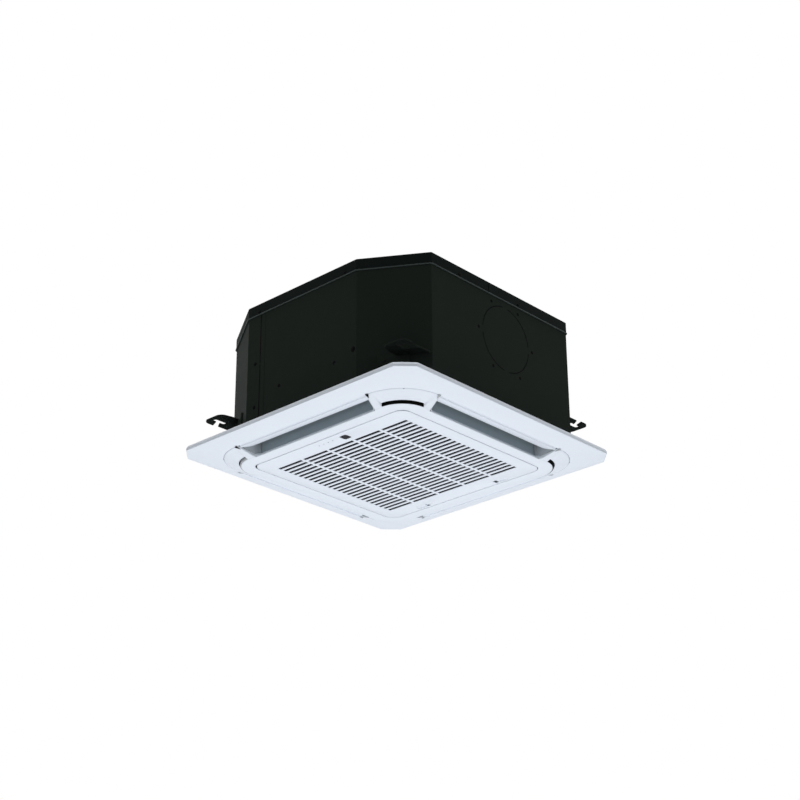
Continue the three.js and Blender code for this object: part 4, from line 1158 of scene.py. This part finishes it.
@dataclass(frozen=True)
class IntakeGrille:
    """Hinged grille: a flat face with 120 air slots, a skirt, hinge ears and two latches."""

    half: float = 212.0
    face: float = -36.0
    skin: float = 2.5
    bar_depth: float = 1.5  # the bars between the slots are thinner than the frame round them
    columns: int = 24
    rows: int = 5
    pitch_x: float = 14.33
    pitch_y: float = 73.4
    slot_width: float = 8.0
    slot_length: float = 67.5
    body: str = "grille"

    def build(self) -> None:
        """Makes the grille and what it carries."""
        self.front().finish("grille_face", Finishes.PANEL, self.body, ("intake_grille",))
        self.skirt().finish("grille_skirt", Finishes.PANEL, self.body)
        self.window().finish("receiver_lens", Finishes.WINDOW, self.body, ("receiver_window",))
        self.indicators().finish("indicator_marks", Finishes.MARK, self.body)
        for sign, label in ((1.0, "rear"), (-1.0, "front")):
            node = f"latch_{label}"
            self.latch(sign).finish(f"latch_slide_{label}", Finishes.PANEL, f"{label}_latch", (node,))

    def outline(self, inset: float = 0.0) -> list[Corner]:
        """Outline of the grille, with rounder corners at its hinge side."""
        half = self.half - inset
        hinge, latch = 23.0 - inset, 21.0 - inset
        return [(-half, -half, hinge), (half, -half, latch), (half, half, latch), (-half, half, hinge)]

    def lines(self, count: int, pitch: float, size: float, margin: float) -> list[float]:
        """Places of the grid's lines: an edge, then both sides of each slot in turn, then an edge."""
        starts = [(i - (count - 1) / 2) * pitch for i in range(count)]
        sides = [s + half for s in starts for half in (-size / 2, size / 2)]
        return [sides[0] - margin, *sides, sides[-1] + margin]

    def slotted_field(self) -> Workpiece:
        """Flat grid whose lines run along the slots, with the slots left open."""
        xs = self.lines(self.columns, self.pitch_x, self.slot_width, 4.0)
        ys = self.lines(self.rows, self.pitch_y, self.slot_length, 4.0)
        field = Workpiece()
        bm = field.mesh
        bmesh.ops.create_grid(bm, x_segments=len(xs) - 1, y_segments=len(ys) - 1, size=1.0)
        for vert in bm.verts:
            column = round((vert.co.x + 1) / 2 * (len(xs) - 1))
            row = round((vert.co.y + 1) / 2 * (len(ys) - 1))
            vert.co = Vector((xs[column], ys[row], self.face))
        holes = []
        for face in bm.faces:
            middle = face.calc_center_median()
            column = sum(x < middle.x for x in xs) - 1
            row = sum(y < middle.y for y in ys) - 1
            if column % 2 == 1 and row % 2 == 1:
                holes.append(face)
        bmesh.ops.delete(bm, geom=holes, context="FACES")
        return field

    def front(self) -> Workpiece:
        """Face of the grille with its slots, the window's place and the two latch slots."""
        field = self.slotted_field()
        reach_x = max(v.co.x for v in field.mesh.verts) - 0.01
        reach_y = max(v.co.y for v in field.mesh.verts) - 0.01
        margin = Workpiece.sheet(self.outline(), self.face, 16)
        openings = [corners_of(-199.6, -45.6, -180.4, -26.4, 4.2)]
        openings += [corners_of(195, y - 17, 207, y + 17, 2.0) for y in (-110.0, 110.0)]
        for opening in openings:
            margin.join(Workpiece.sheet(opening, self.face, 4))
        bm = margin.mesh
        bmesh.ops.delete(bm, geom=list(bm.faces), context="FACES_ONLY")
        rim = field.copy()
        inside = list(rim.mesh.faces)
        boundary = {
            e for f in inside for e in f.edges
            if len(e.link_faces) == 1
            and (all(abs(v.co.x) > reach_x for v in e.verts) or all(abs(v.co.y) > reach_y for v in e.verts))
        }
        bmesh.ops.delete(rim.mesh, geom=inside, context="FACES_ONLY")
        bmesh.ops.delete(rim.mesh, geom=[e for e in rim.mesh.edges if e not in boundary], context="EDGES")
        margin.join(rim)
        bmesh.ops.triangle_fill(bm, edges=list(bm.edges), use_beauty=True, use_dissolve=False)
        field.join(margin)
        bmesh.ops.remove_doubles(field.mesh, verts=field.mesh.verts, dist=1e-3)
        return field.thicken(self.bar_depth).ease(0.35, 2, under(self.face + 0.01), 60.0)

    def skirt(self) -> Workpiece:
        """Wall behind the face's edge, cut away at the hinge lugs and catches, and the pinned ears."""
        low = self.face + self.skin + 0.02
        foot = self.face + self.bar_depth + 0.02
        wall = Workpiece.washer(self.outline(), [self.outline(2.0)], foot, low + 7.5, 16)
        cuts = [Workpiece.block((-216, y - 8, low - 1), (-205, y + 8, low + 12)) for y in (-150.0, 150.0)]
        cuts += [Workpiece.block((205, y - 16, low - 1), (216, y + 16, low + 12)) for y in (-129.0, 129.0)]
        wall = wall.cut_with(*cuts)
        for sign in (-1.0, 1.0):
            y = sign * 154.5
            section = [(-199, low, 0), (-189, low, 0), (-192, -27.4, 1.4), (-198, -27.4, 1.4)]
            ear = bar(section, y - 1.5, y + 1.5)
            inwards = min(sign * 146.5, y)
            pin = Workpiece.rod(1.6, 8.0, 16, 0.3).turn(-90, "X").shift(-195, inwards, -30.2)
            wall.join(ear, pin)
        for y in (-192.0, 192.0):
            wall.join(Workpiece.block((-165, y - 1, low), (190, y + 1, low + 3.5), 0.3))
        return wall

    def window(self) -> Workpiece:
        """Smoked lens of the remote control's receiver, slightly crowned."""
        corners = corners_of(-199.2, -45.2, -180.8, -26.8, 4.0)
        lens = Workpiece.plate(corners, self.face + 0.35, self.face + 2.9, 6)
        return lens.ease(0.5, 3, under(self.face + 0.4), 60.0)

    def indicators(self) -> Workpiece:
        """Four small round marks beside the window."""
        marks = Workpiece()
        for y in (-5.0, 7.7, 20.4, 33.1):
            marks.join(Workpiece.rod(1.5, 1.0, 20, 0.3).shift(-194.6, y, self.face - 0.02))
        return marks

    def latch(self, sign: float) -> Workpiece:
        """Sliding latch: ribbed thumb pad, plate and tongue."""
        z = self.face
        pad = Workpiece.plate(corners_of(195.5, 101.5, 206.5, 126.5, 1.6), z + 0.6, z + 3.3, 5)
        pad.ease(0.5, 2, under(z + 0.7), 60.0)
        for y in range(105, 125, 3):
            pad.join(Workpiece.block((197.2, y - 0.5, z + 0.15), (204.8, y + 0.5, z + 0.9), 0.25, 1))
        plate = Workpiece.plate(corners_of(192.5, 98, 207.4, 130, 1.0), z + 3.35, z + 4.8)
        post = Workpiece.block((197, 124, z + 4.8), (206, 130, -29.0), 0.3)
        tongue = bar([(197, -29.0, 0.2), (206, -29.0, 0.2), (206, -26.5, 0.8), (197, -26.5, 0.8)], 124, 131.5)
        return pad.join(plate, post, tongue).flip(y=sign)


# ---------- sheet-metal body ----------


@dataclass(frozen=True)
class SheetBody:
    """Painted sheet-metal casing: lid, seams, screws and the hanger brackets."""

    half: float = 285.0
    side: float = 157.0  # half length of the walls that face -X and +X
    left: float = 204.0
    right: float = 225.0
    top: float = 284.0
    lid_foot: float = 257.5
    wall: float = 283.7  # outer face of the casing walls below the lid
    knockout: tuple[float, float] = (21.0, 171.5)  # centre, along the wall and up
    knockout_radius: float = 72.0
    knockout_holes: float = 84.0  # radius of the ring of holes round it
    bracket_z: float = 63.5  # underside of the bracket plates
    body: str = "casing"

    def build(self) -> None:
        """Makes the lid, the small parts on the walls and the four brackets."""
        # The lid wears the body paint made darker, painted shade.
        self.lid().finish("lid_shell", Finishes.LID, self.body, ("top_cover",))
        # The hem wears the body paint made lighter, a painted highlight.
        self.hem().finish("lid_hem", Finishes.HEM, self.body)
        self.openings().finish("casing_openings", Finishes.DEEP, self.body)
        self.screws().finish("casing_screws", Finishes.SCREW, self.body)
        self.rivets().finish("bracket_rivets", Finishes.PAINT, self.body)
        for side, (sign_x, sign_y) in zip(Side, ((1, 1), (-1, 1), (-1, -1), (1, -1))):
            hook = self.bracket(sign_x, sign_y)
            hook.finish(f"hook_{side.corner}", Finishes.PAINT, self.body, (f"hanger_bracket_{side.corner}",))

    def outline(self, inset: float = 0.0, radius: float = 3.0) -> list[Corner]:
        """Eight-sided outline of the body, with small bends at its corners."""
        h, s, lx, rx = self.half, self.side, -self.left, self.right
        corners = [(h, -s, radius), (h, s, radius), (rx, h, radius), (lx, h, radius)]
        corners += [(-h, s, radius), (-h, -s, radius), (lx, -h, radius), (rx, -h, radius)]
        return grown(corners, -inset)

    def lid(self) -> Workpiece:
        """Lid with a folded rim, a raised field, stiffening beads and the tab below its near edge."""
        lid = Workpiece.plate(self.outline(), self.top - 1.0, self.top, 5)
        lid.ease(0.35, 2, above(self.top - 0.01), 60.0)
        field = Workpiece.plate(self.outline(46.0, 52.0), self.top - 0.5, self.top + 0.6, 5)
        lid.join(field.ease(0.35, 2, above(self.top + 0.5), 60.0))
        rim = Workpiece.washer(self.outline(), [self.outline(1.0)], self.lid_foot + 0.6, self.top - 0.9, 5)
        for place in (-120.0, -40.0, 40.0, 120.0):
            corners = corners_of(-150, place - 7, 150, place + 7, 6.9)
            bead = Workpiece.plate(corners, self.top + 0.5, self.top + 0.99, 8)
            lid.join(bead.ease(0.3, 2, above(self.top + 0.9), 60.0))
        tab = Workpiece.plate(corners_of(-31, 0, 27, 20, 3.0), 0, 1.0, 4).turn(90, "X")
        return lid.join(rim, tab.shift(0, -self.half + 0.05, self.lid_foot + 2.6))

    def hem(self) -> Workpiece:
        """Edge of the lid's rim, rolled outwards."""
        low = self.lid_foot
        hem = Workpiece.washer(self.outline(-1.9, 4.0), [self.outline(1.0)], low, low + 2.4, 5)
        return hem.ease(0.8, 3, lambda e: max(abs(v.co.x) for v in e.verts) > 200, 60.0)

    def openings(self) -> Workpiece:
        """Dark joints and the knockout's cut, and near-black discs that paint the shade inside holes, all a hair in
        front of the walls.
        """
        dark = Workpiece()
        for sign in (-1.0, 1.0):
            low, high = sorted((sign * (self.wall - 0.4), sign * (self.wall + 0.25)))
            dark.join(Workpiece.block((low, 118.0, 26.0), (high, 120.4, 143.0), 0.1, 1))
            dark.join(Workpiece.block((low, 118.0, 147.0), (high, 120.4, 256.5), 0.1, 1))
        # Near-black discs paint the shade inside the holes.
        for along, z, radius in ((148.0, 88.0, 5.6), (96.0, 76.0, 4.0), (-61.0, 77.0, 4.0)):
            dark.join(self.on_wall(self.plug(radius), 180.0, self.wall + 0.1, along, z))
        along, z = self.knockout
        for x, y, _ in hexagon_of(self.knockout_holes):
            dark.join(self.on_wall(self.plug(3.4), 270.0, self.wall + 0.1, along + x, z + y))
        for k in range(4):
            arc = self.arc(self.knockout_radius, 78.0, 0.9).turn(90.0 * k + 6.0)
            dark.join(arc.turn(90, "X").shift(along, -self.wall + 0.05, z))
        return dark

    def plug(self, radius: float) -> Workpiece:
        """Shallow domed disc, seen along +Z, that paints the shade inside a hole."""
        return Workpiece.turned([(0, -0.4, 0), (radius, -0.4, 0), (radius, 0.1, 0.05), (0, 0.35, 0)], 20, 2)

    def arc(self, radius: float, spread: float, half_width: float) -> Workpiece:
        """Flat strip that runs round part of a circle."""
        inner, outer = radius - half_width, radius + half_width
        return Workpiece.swept(((inner, 0.0), (outer, 0.0), (outer, 0.3), (inner, 0.3)), spread, 20)

    def screw(self) -> Workpiece:
        """Pan-head screw with a crossed recess, seen along +Z."""
        head = Workpiece.turned([(0, 0, 0), (4.2, 0, 0.2), (4.0, 1.3, 0.8), (0, 1.9, 0)], 20, 3)
        slots = [Workpiece.block((-a, -b, 0.9), (a, b, 3)) for a, b in ((2.4, 0.45), (0.45, 2.4))]
        return head.cut_with(*slots)

    def on_wall(self, piece: Workpiece, bearing: float, reach: float, along: float, z: float) -> Workpiece:
        """Stands a piece on a wall.

        Args:
            piece: The piece, made lying on z = 0.
            bearing: Direction that the wall faces, in degrees from +X.
            reach: Distance of the wall from the axis.
            along: Place along the wall, to the left of its outward direction.
            z: Height.

        Returns:
            The placed piece.
        """
        return piece.turn(90, "Y").shift(reach, along, z).turn(bearing)

    def screws(self) -> Workpiece:
        """All screws of the lid's rim and the walls."""
        master = self.screw()
        rim = 265.0
        spots = [(180.0, self.half, y, rim) for y in (-125.0, 125.0)]
        spots += [(0.0, self.half, y, rim) for y in (-125.0, 125.0)]
        spots += [(270.0, self.half, x, rim) for x in (-120.0, 64.0)]
        spots += [(90.0, self.half, x, rim) for x in (-64.0, 120.0)]
        spots += [(180.0, self.wall, -134.0, z) for z in (51.0, 149.0)]
        spots += [(0.0, self.wall, 134.0, z) for z in (51.0, 149.0)]
        placed = [self.on_wall(master.copy(), *spot) for spot in spots]
        master.mesh.free()
        return Workpiece().join(*placed)

    def chamfer(self, sign_x: int) -> tuple[float, float, float]:
        """Bearing of the chamfer at +Y on one side, its distance from the axis, and its middle's place."""
        end_x = self.right if sign_x > 0 else -self.left
        start, end = Vector((sign_x * self.half, self.side)), Vector((end_x, self.half))
        run = (end - start).normalized()
        out = Vector((run.y, -run.x)) * sign_x
        middle = (start + end) / 2
        return math.degrees(math.atan2(out.y, out.x)), middle.dot(out), middle.dot(Vector((-out.y, out.x)))

    def bracket(self, sign_x: int, sign_y: int) -> Workpiece:
        """Hook plate for a hanger rod, with its flange against the chamfer."""
        hook = [
            (195, 224, 0), (258, 224.5, 30), (288, 231, 16), (288, 284, 13), (261.5, 284, 0.8),
            (268, 267, 0.8), (278.5, 267, 4.0), (278.5, 256, 4.0), (247, 256, 4.6), (247, 267.5, 4.0),
            (258, 267.5, 0.8), (250, 281, 0.8), (195, 281, 0),
        ]
        plate = Workpiece.sheet(hook, self.bracket_z, 6)
        bearing, reach, along = self.chamfer(sign_x)
        if sign_x < 0:
            bearing = 180.0 - bearing
            along = -along
        normal = Vector((math.cos(math.radians(bearing)), math.sin(math.radians(bearing)), 0.0))
        plate.bisect(normal * (reach - 0.6), normal, True).thicken(3.0).ease(0.5, 2, angle=60.0)
        flange = Workpiece.block((reach - 0.9, along - 33, 42.0), (reach + 1.7, along + 30, 66.0), 0.7, 2)
        piece = plate.join(flange.turn(bearing))
        return piece.flip(float(sign_x), float(sign_y))

    def rivets(self) -> Workpiece:
        """Rivets that hold the brackets' flanges."""
        rivets = Workpiece()
        for sign_x in (-1, 1):
            bearing, reach, along = self.chamfer(sign_x)
            for place in (-20.0, 18.0):
                rivet = Workpiece.turned([(0, 0, 0), (3.4, 0, 0.2), (2.9, 1.2, 0.7), (0, 1.6, 0)], 20, 3)
                shift = along + sign_x * place
                placed = self.on_wall(rivet, bearing, reach + 1.7, shift, 53.0)
                rivets.join(placed.copy(), placed.flip(y=-1.0))
        return rivets


# ---------- inside ----------


@dataclass(frozen=True)
class Blower:
    """Bell mouth and backward-curved fan, seen when the grille hangs open."""

    blades: int = 7

    def build(self) -> None:
        """Makes the bell mouth, the fan and its nut."""
        self.bell().finish("bell_shell", Finishes.DARK, "casing", ("bell_mouth",))
        self.fan().finish("fan_wheel", Finishes.DARK, "fan", ("turbo_fan",))
        self.nut().finish("fan_lock_nut", Finishes.BRASS, "fan", ("fan_nut",))

    def bell(self) -> Workpiece:
        """Flat plate drawn up into a smooth throat."""
        plate = Workpiece.washer(square_of(212, 20), [square_of(172, 172)], 23.0, 25.0, 24)
        throat = [
            (172.2, 23.0, 0), (172.2, 25.0, 0), (150.0, 27.0, 30.0), (120.0, 48.0, 30.0),
            (114.0, 83.8, 0.4), (112.0, 83.8, 0.4), (118.0, 46.0, 30.0), (149.0, 23.2, 30.0),
        ]
        return plate.join(Workpiece.turned(throat, 72, 6))

    def fan(self) -> Workpiece:
        """Wheel: inlet ring, back plate with its hub dome, and the blades between them."""
        ring = [
            (118.0, 84.5, 0.4), (120.2, 84.5, 0.4), (126.0, 97.0, 12.0),
            (164.8, 105.6, 0.4), (164.8, 108.0, 0.4), (124.0, 99.0, 12.0),
        ]
        back = [
            (11.0, 163.0, 0.5), (30.0, 163.0, 10.0), (62.0, 190.0, 20.0), (86.0, 233.5, 14.0), (164.8, 233.5, 0.4),
            (164.8, 236.0, 0.4), (84.0, 236.0, 14.0), (59.0, 191.5, 20.0), (28.0, 165.6, 10.0), (11.0, 165.6, 0.5),
        ]
        blades = [self.blade().turn(360.0 * k / self.blades) for k in range(self.blades)]
        return Workpiece.turned(ring, 72, 4).join(Workpiece.turned(back, 72, 4), *blades)

    def blade(self) -> Workpiece:
        """Hollow-looking curved blade, thickest a third of the way out, leaning back against the turn."""
        plan = [
            (101, 1.0, 1.5), (118, 2.0, 30), (134, 40.0, 60), (133.0, 94.0, 0.8),
            (129.5, 95.0, 0.8), (118, 50.0, 50), (103, 12.0, 20),
        ]
        return Workpiece.plate(plan, 103.0, 234.0, 6)

    def nut(self) -> Workpiece:
        """Hexagonal nut with chamfered corners."""
        across = 11.2
        nut = Workpiece.washer(hexagon_of(across, 1.2), [hexagon_of(across * 0.48, 3.0)], 153.2, 161.5, 3)
        return nut.ease(0.4, 2, angle=60.0)


@dataclass(frozen=True)
class AirFilter:
    """Washable filter behind the grille: a ribbed frame over a fine net."""

    low: float = -33.2
    body: str = "grille"

    def build(self) -> None:
        """Makes the frame and the net."""
        self.frame().finish("filter_frame", Finishes.DARK, self.body, ("air_filter",))
        self.net().finish("filter_net", Finishes.NET, self.body)

    def frame(self) -> Workpiece:
        """Outer frame with a grid of thin ribs."""
        frame = Workpiece.washer(
            corners_of(-169.8, -186.8, 187.8, 186.8, 5.0), [corners_of(-163, -180, 181, 180, 3.0)], self.low,
            self.low + 4.9, 5,
        )
        for x in (-77, 9, 95):
            frame.join(Workpiece.block((x - 1.2, -180.5, self.low), (x + 1.2, 180.5, self.low + 4), 0.3, 1))
        low, high = self.low + 0.4, self.low + 3
        for y in (-73.4, 0, 73.4):
            frame.join(Workpiece.block((-163.5, y - 1.2, low), (181.5, y + 1.2, high), 0.3, 1))
        return frame

    def net(self) -> Workpiece:
        """Sheet that carries the woven pattern."""
        return Workpiece.plate(corners_of(-165, -182, 183, 182, 3.0), self.low + 1.5, self.low + 1.9, 4)


@dataclass(frozen=True)
class HeatExchanger:
    """Finned coil bent round the fan, open at the corner at +X +Y, with its return bends."""

    outer: float = 222.0
    depth: float = 27.0
    radius: float = 62.0
    low: float = 48.4
    top: float = 267.8
    pitch: float = 3.2
    body: str = "casing"

    def build(self) -> None:
        """Makes the fins and the return bends at the two free ends."""
        self.fins().finish("coil_fins", Finishes.FIN, self.body, ("coil",))
        self.bends().finish("coil_bends", Finishes.COPPER, self.body)

    def fin(self) -> Workpiece:
        """One fin across the depth of the coil, on the side that faces +X."""
        return Workpiece.block((self.outer - self.depth, -0.2, self.low), (self.outer, 0.2, self.top))

    def fins(self) -> Workpiece:
        """All fins of the four straight runs and the three bends."""
        fins = Workpiece()
        straight = self.outer - self.radius
        count = int(2 * (straight - 2) / self.pitch)
        for side in Side:
            for k in range(count + 1):
                fins.join(self.fin().shift(0, -straight + 2 + k * self.pitch).turn(90.0 * side.value))
        for quarter in (90.0, 180.0, 270.0):
            for k in range(24):
                placed = self.fin().shift(-straight, 0).turn(90.0 * (k + 0.5) / 24)
                fins.join(placed.shift(straight, straight).turn(quarter))
        return fins

    def bends(self) -> Workpiece:
        """Hairpin bends that stand out of the two cut ends."""
        bends = Workpiece()
        for row in (201.0, 214.0):
            for k in range(4):
                z = 108.0 + 42.0 * k
                shape = ((160.0, 0.0), (166.0, 1.5), (170.0, 10.5), (166.0, 19.5), (160.0, 21.0))
                for path in ([(row, y, z + up) for y, up in shape], [(y, row, z + up) for y, up in shape]):
                    bends.join(tube(path, 3.5, 8, 3))
        return bends


@dataclass(frozen=True)
class PipeEnds:
    """Ends of the pipes outside the casing: flare nuts, drain socket and cable grommet."""

    pipe_y: float = 70.0
    body: str = "casing"

    def build(self) -> None:
        """Makes the two nuts, the drain socket and the grommet."""
        for label, half, length, bore, reach, height in (
            ("gas", 13.0, 24.0, 6.8, 322.0, 230.0), ("liquid", 8.5, 20.0, 3.7, 318.0, 190.0),
        ):
            nut = self.nut(half, length, bore).shift(reach, self.pipe_y, height)
            nut.finish(f"{label}_nut", Finishes.BRASS, self.body, (f"{label}_flare_nut",))
        self.socket().finish("drain_socket", Finishes.PUMP, self.body, ("drain_outlet",))
        self.grommet().finish("grommet_ring", Finishes.RUBBER, self.body, ("cable_grommet",))

    def nut(self, half: float, length: float, bore: float) -> Workpiece:
        """Hexagonal flare nut along +X, its corners turned down at both ends and its neck tapered.

        Args:
            half: Half the width across the flats.
            length: Length of the nut.
            bore: Radius of the bore.

        Returns:
            The nut, starting at x = 0.
        """
        corners = hexagon_of(half / math.cos(math.radians(30)), 0.8, 30.0)
        hexagon = Workpiece.plate(corners, length * 0.3, length * 0.92, 3).ease(0.5, 2, angle=50.0)
        neck_end, face_start = length * 0.32, length * 0.9
        neck = [(bore, 0, 0.3), (half * 0.72, 0, 0.6), (half * 0.86, neck_end, 0.2), (bore, neck_end, 0)]
        face = [(bore, face_start, 0), (half * 0.97, face_start, 0), (half * 0.93, length, 0.5), (bore, length, 0.4)]
        return hexagon.join(Workpiece.turned(neck, 32, 3), Workpiece.turned(face, 32, 3)).turn(90, "Y")

    def socket(self) -> Workpiece:
        """Drain pipe with a stop collar and grooves for the hose."""
        profile = [
            (10.0, 262.0, 0.3), (12.4, 262.0, 0.5), (12.4, 285.4, 0), (15.8, 285.4, 0.6), (15.8, 288.0, 0.6),
            (12.4, 288.0, 0.3),
        ]
        for k in range(3):
            x = 300.0 + 7 * k
            profile += [(12.4, x, 0.2), (11.8, x + 0.8, 0.2), (11.8, x + 2.2, 0.2), (12.4, x + 3.0, 0.2)]
        profile += [(12.4, 328.6, 0.2), (11.4, 330.0, 0.4), (10.0, 330.0, 0.3)]
        return Workpiece.turned(profile, 40, 2).turn(90, "Y").shift(0, 8.0, 215.0)

    def grommet(self) -> Workpiece:
        """Rubber grommet with rounded lips and a closed membrane."""
        profile = [
            (0.0, 281.0, 0), (7.0, 281.0, 0.4), (8.4, 276.3, 0.8), (11.4, 277.0, 0.9), (9.2, 283.6, 0.3),
            (9.2, 285.1, 0.2), (11.5, 285.3, 0.8), (11.0, 288.4, 1.2), (7.6, 288.4, 1.0), (6.4, 283.0, 0.5),
            (0.0, 282.4, 0),
        ]
        return Workpiece.turned(profile, 40, 3).turn(90, "Y").shift(0, -60.0, 120.0)


PARTS: tuple = (
    Fascia(), CornerCover(), Louver(), IntakeGrille(), AirFilter(), SheetBody(), Blower(), HeatExchanger(), PipeEnds(),
)


@dataclass(frozen=True)
class Wardrobe:
    """Which finish each node of the frame wears where no finer piece replaces it."""

    nodes: tuple[tuple[Finish, tuple[str, ...]], ...] = (
        (Finishes.PAINT, ("top_cover", "front_casing", "rear_casing", "pipe_plate")),
        (Finishes.PAINT, tuple(f"hanger_bracket_{side.corner}" for side in Side)),
        (Finishes.DARK_FOAM, ("foam_liner", "foam_top", "panel_seal")),
        (Finishes.PALE_FOAM, ("drain_pan", "level_float")),
        (Finishes.ZINC, ("coil_end_plate", "motor_mount", "control_box", "control_box_cover")),
        (Finishes.FIN, ("coil",)),
        (Finishes.STEEL, ("fan_motor", "fan_shaft")),
        (Finishes.PUMP, ("drain_pump", "drain_outlet", "float_stem")),
        (Finishes.DARK, ("bell_mouth", "turbo_fan", "display_box")),
        (Finishes.BOARD, ("circuit_board",)),
        (Finishes.COPPER, ("gas_pipe", "liquid_pipe")),
        (Finishes.BRASS, ("gas_flare_nut", "liquid_flare_nut", "fan_nut")),
        (Finishes.RUBBER, ("cable_grommet",)),
        (Finishes.NET, ("air_filter",)),
        (Finishes.WINDOW, ("receiver_window",)),
        (Finishes.PANEL, ("panel_frame", "intake_grille", "latch_rear", "latch_front")),
        (Finishes.PANEL, tuple(f"louver_{side.label}" for side in Side)),
        (Finishes.PANEL, tuple(f"corner_cover_{side.corner}" for side in Side)),
        # Catches and bushes deep in the panel wear white plastic in painted shade.
        (Finishes.DUCT, ("latch_catch_rear", "latch_catch_front")),
        (Finishes.DUCT, tuple(f"louver_bush_{side.label}" for side in Side)),
        (Finishes.DARK, tuple(f"louver_motor_{side.label}" for side in Side)),
    )

    def dress(self, frame: dict) -> None:
        """Dresses every node that has a finish listed."""
        for finish, names in self.nodes:
            for name in names:
                if name in frame["nodes"]:
                    dress_node(frame, name, finish)


def main() -> None:
    """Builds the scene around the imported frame."""
    logging.basicConfig(level=logging.INFO, format="%(message)s")
    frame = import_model()
    View().build()
    Studio().build()
    Wardrobe().dress(frame)
    for part in PARTS:
        part.build()


if __name__ == "__main__":
    main()
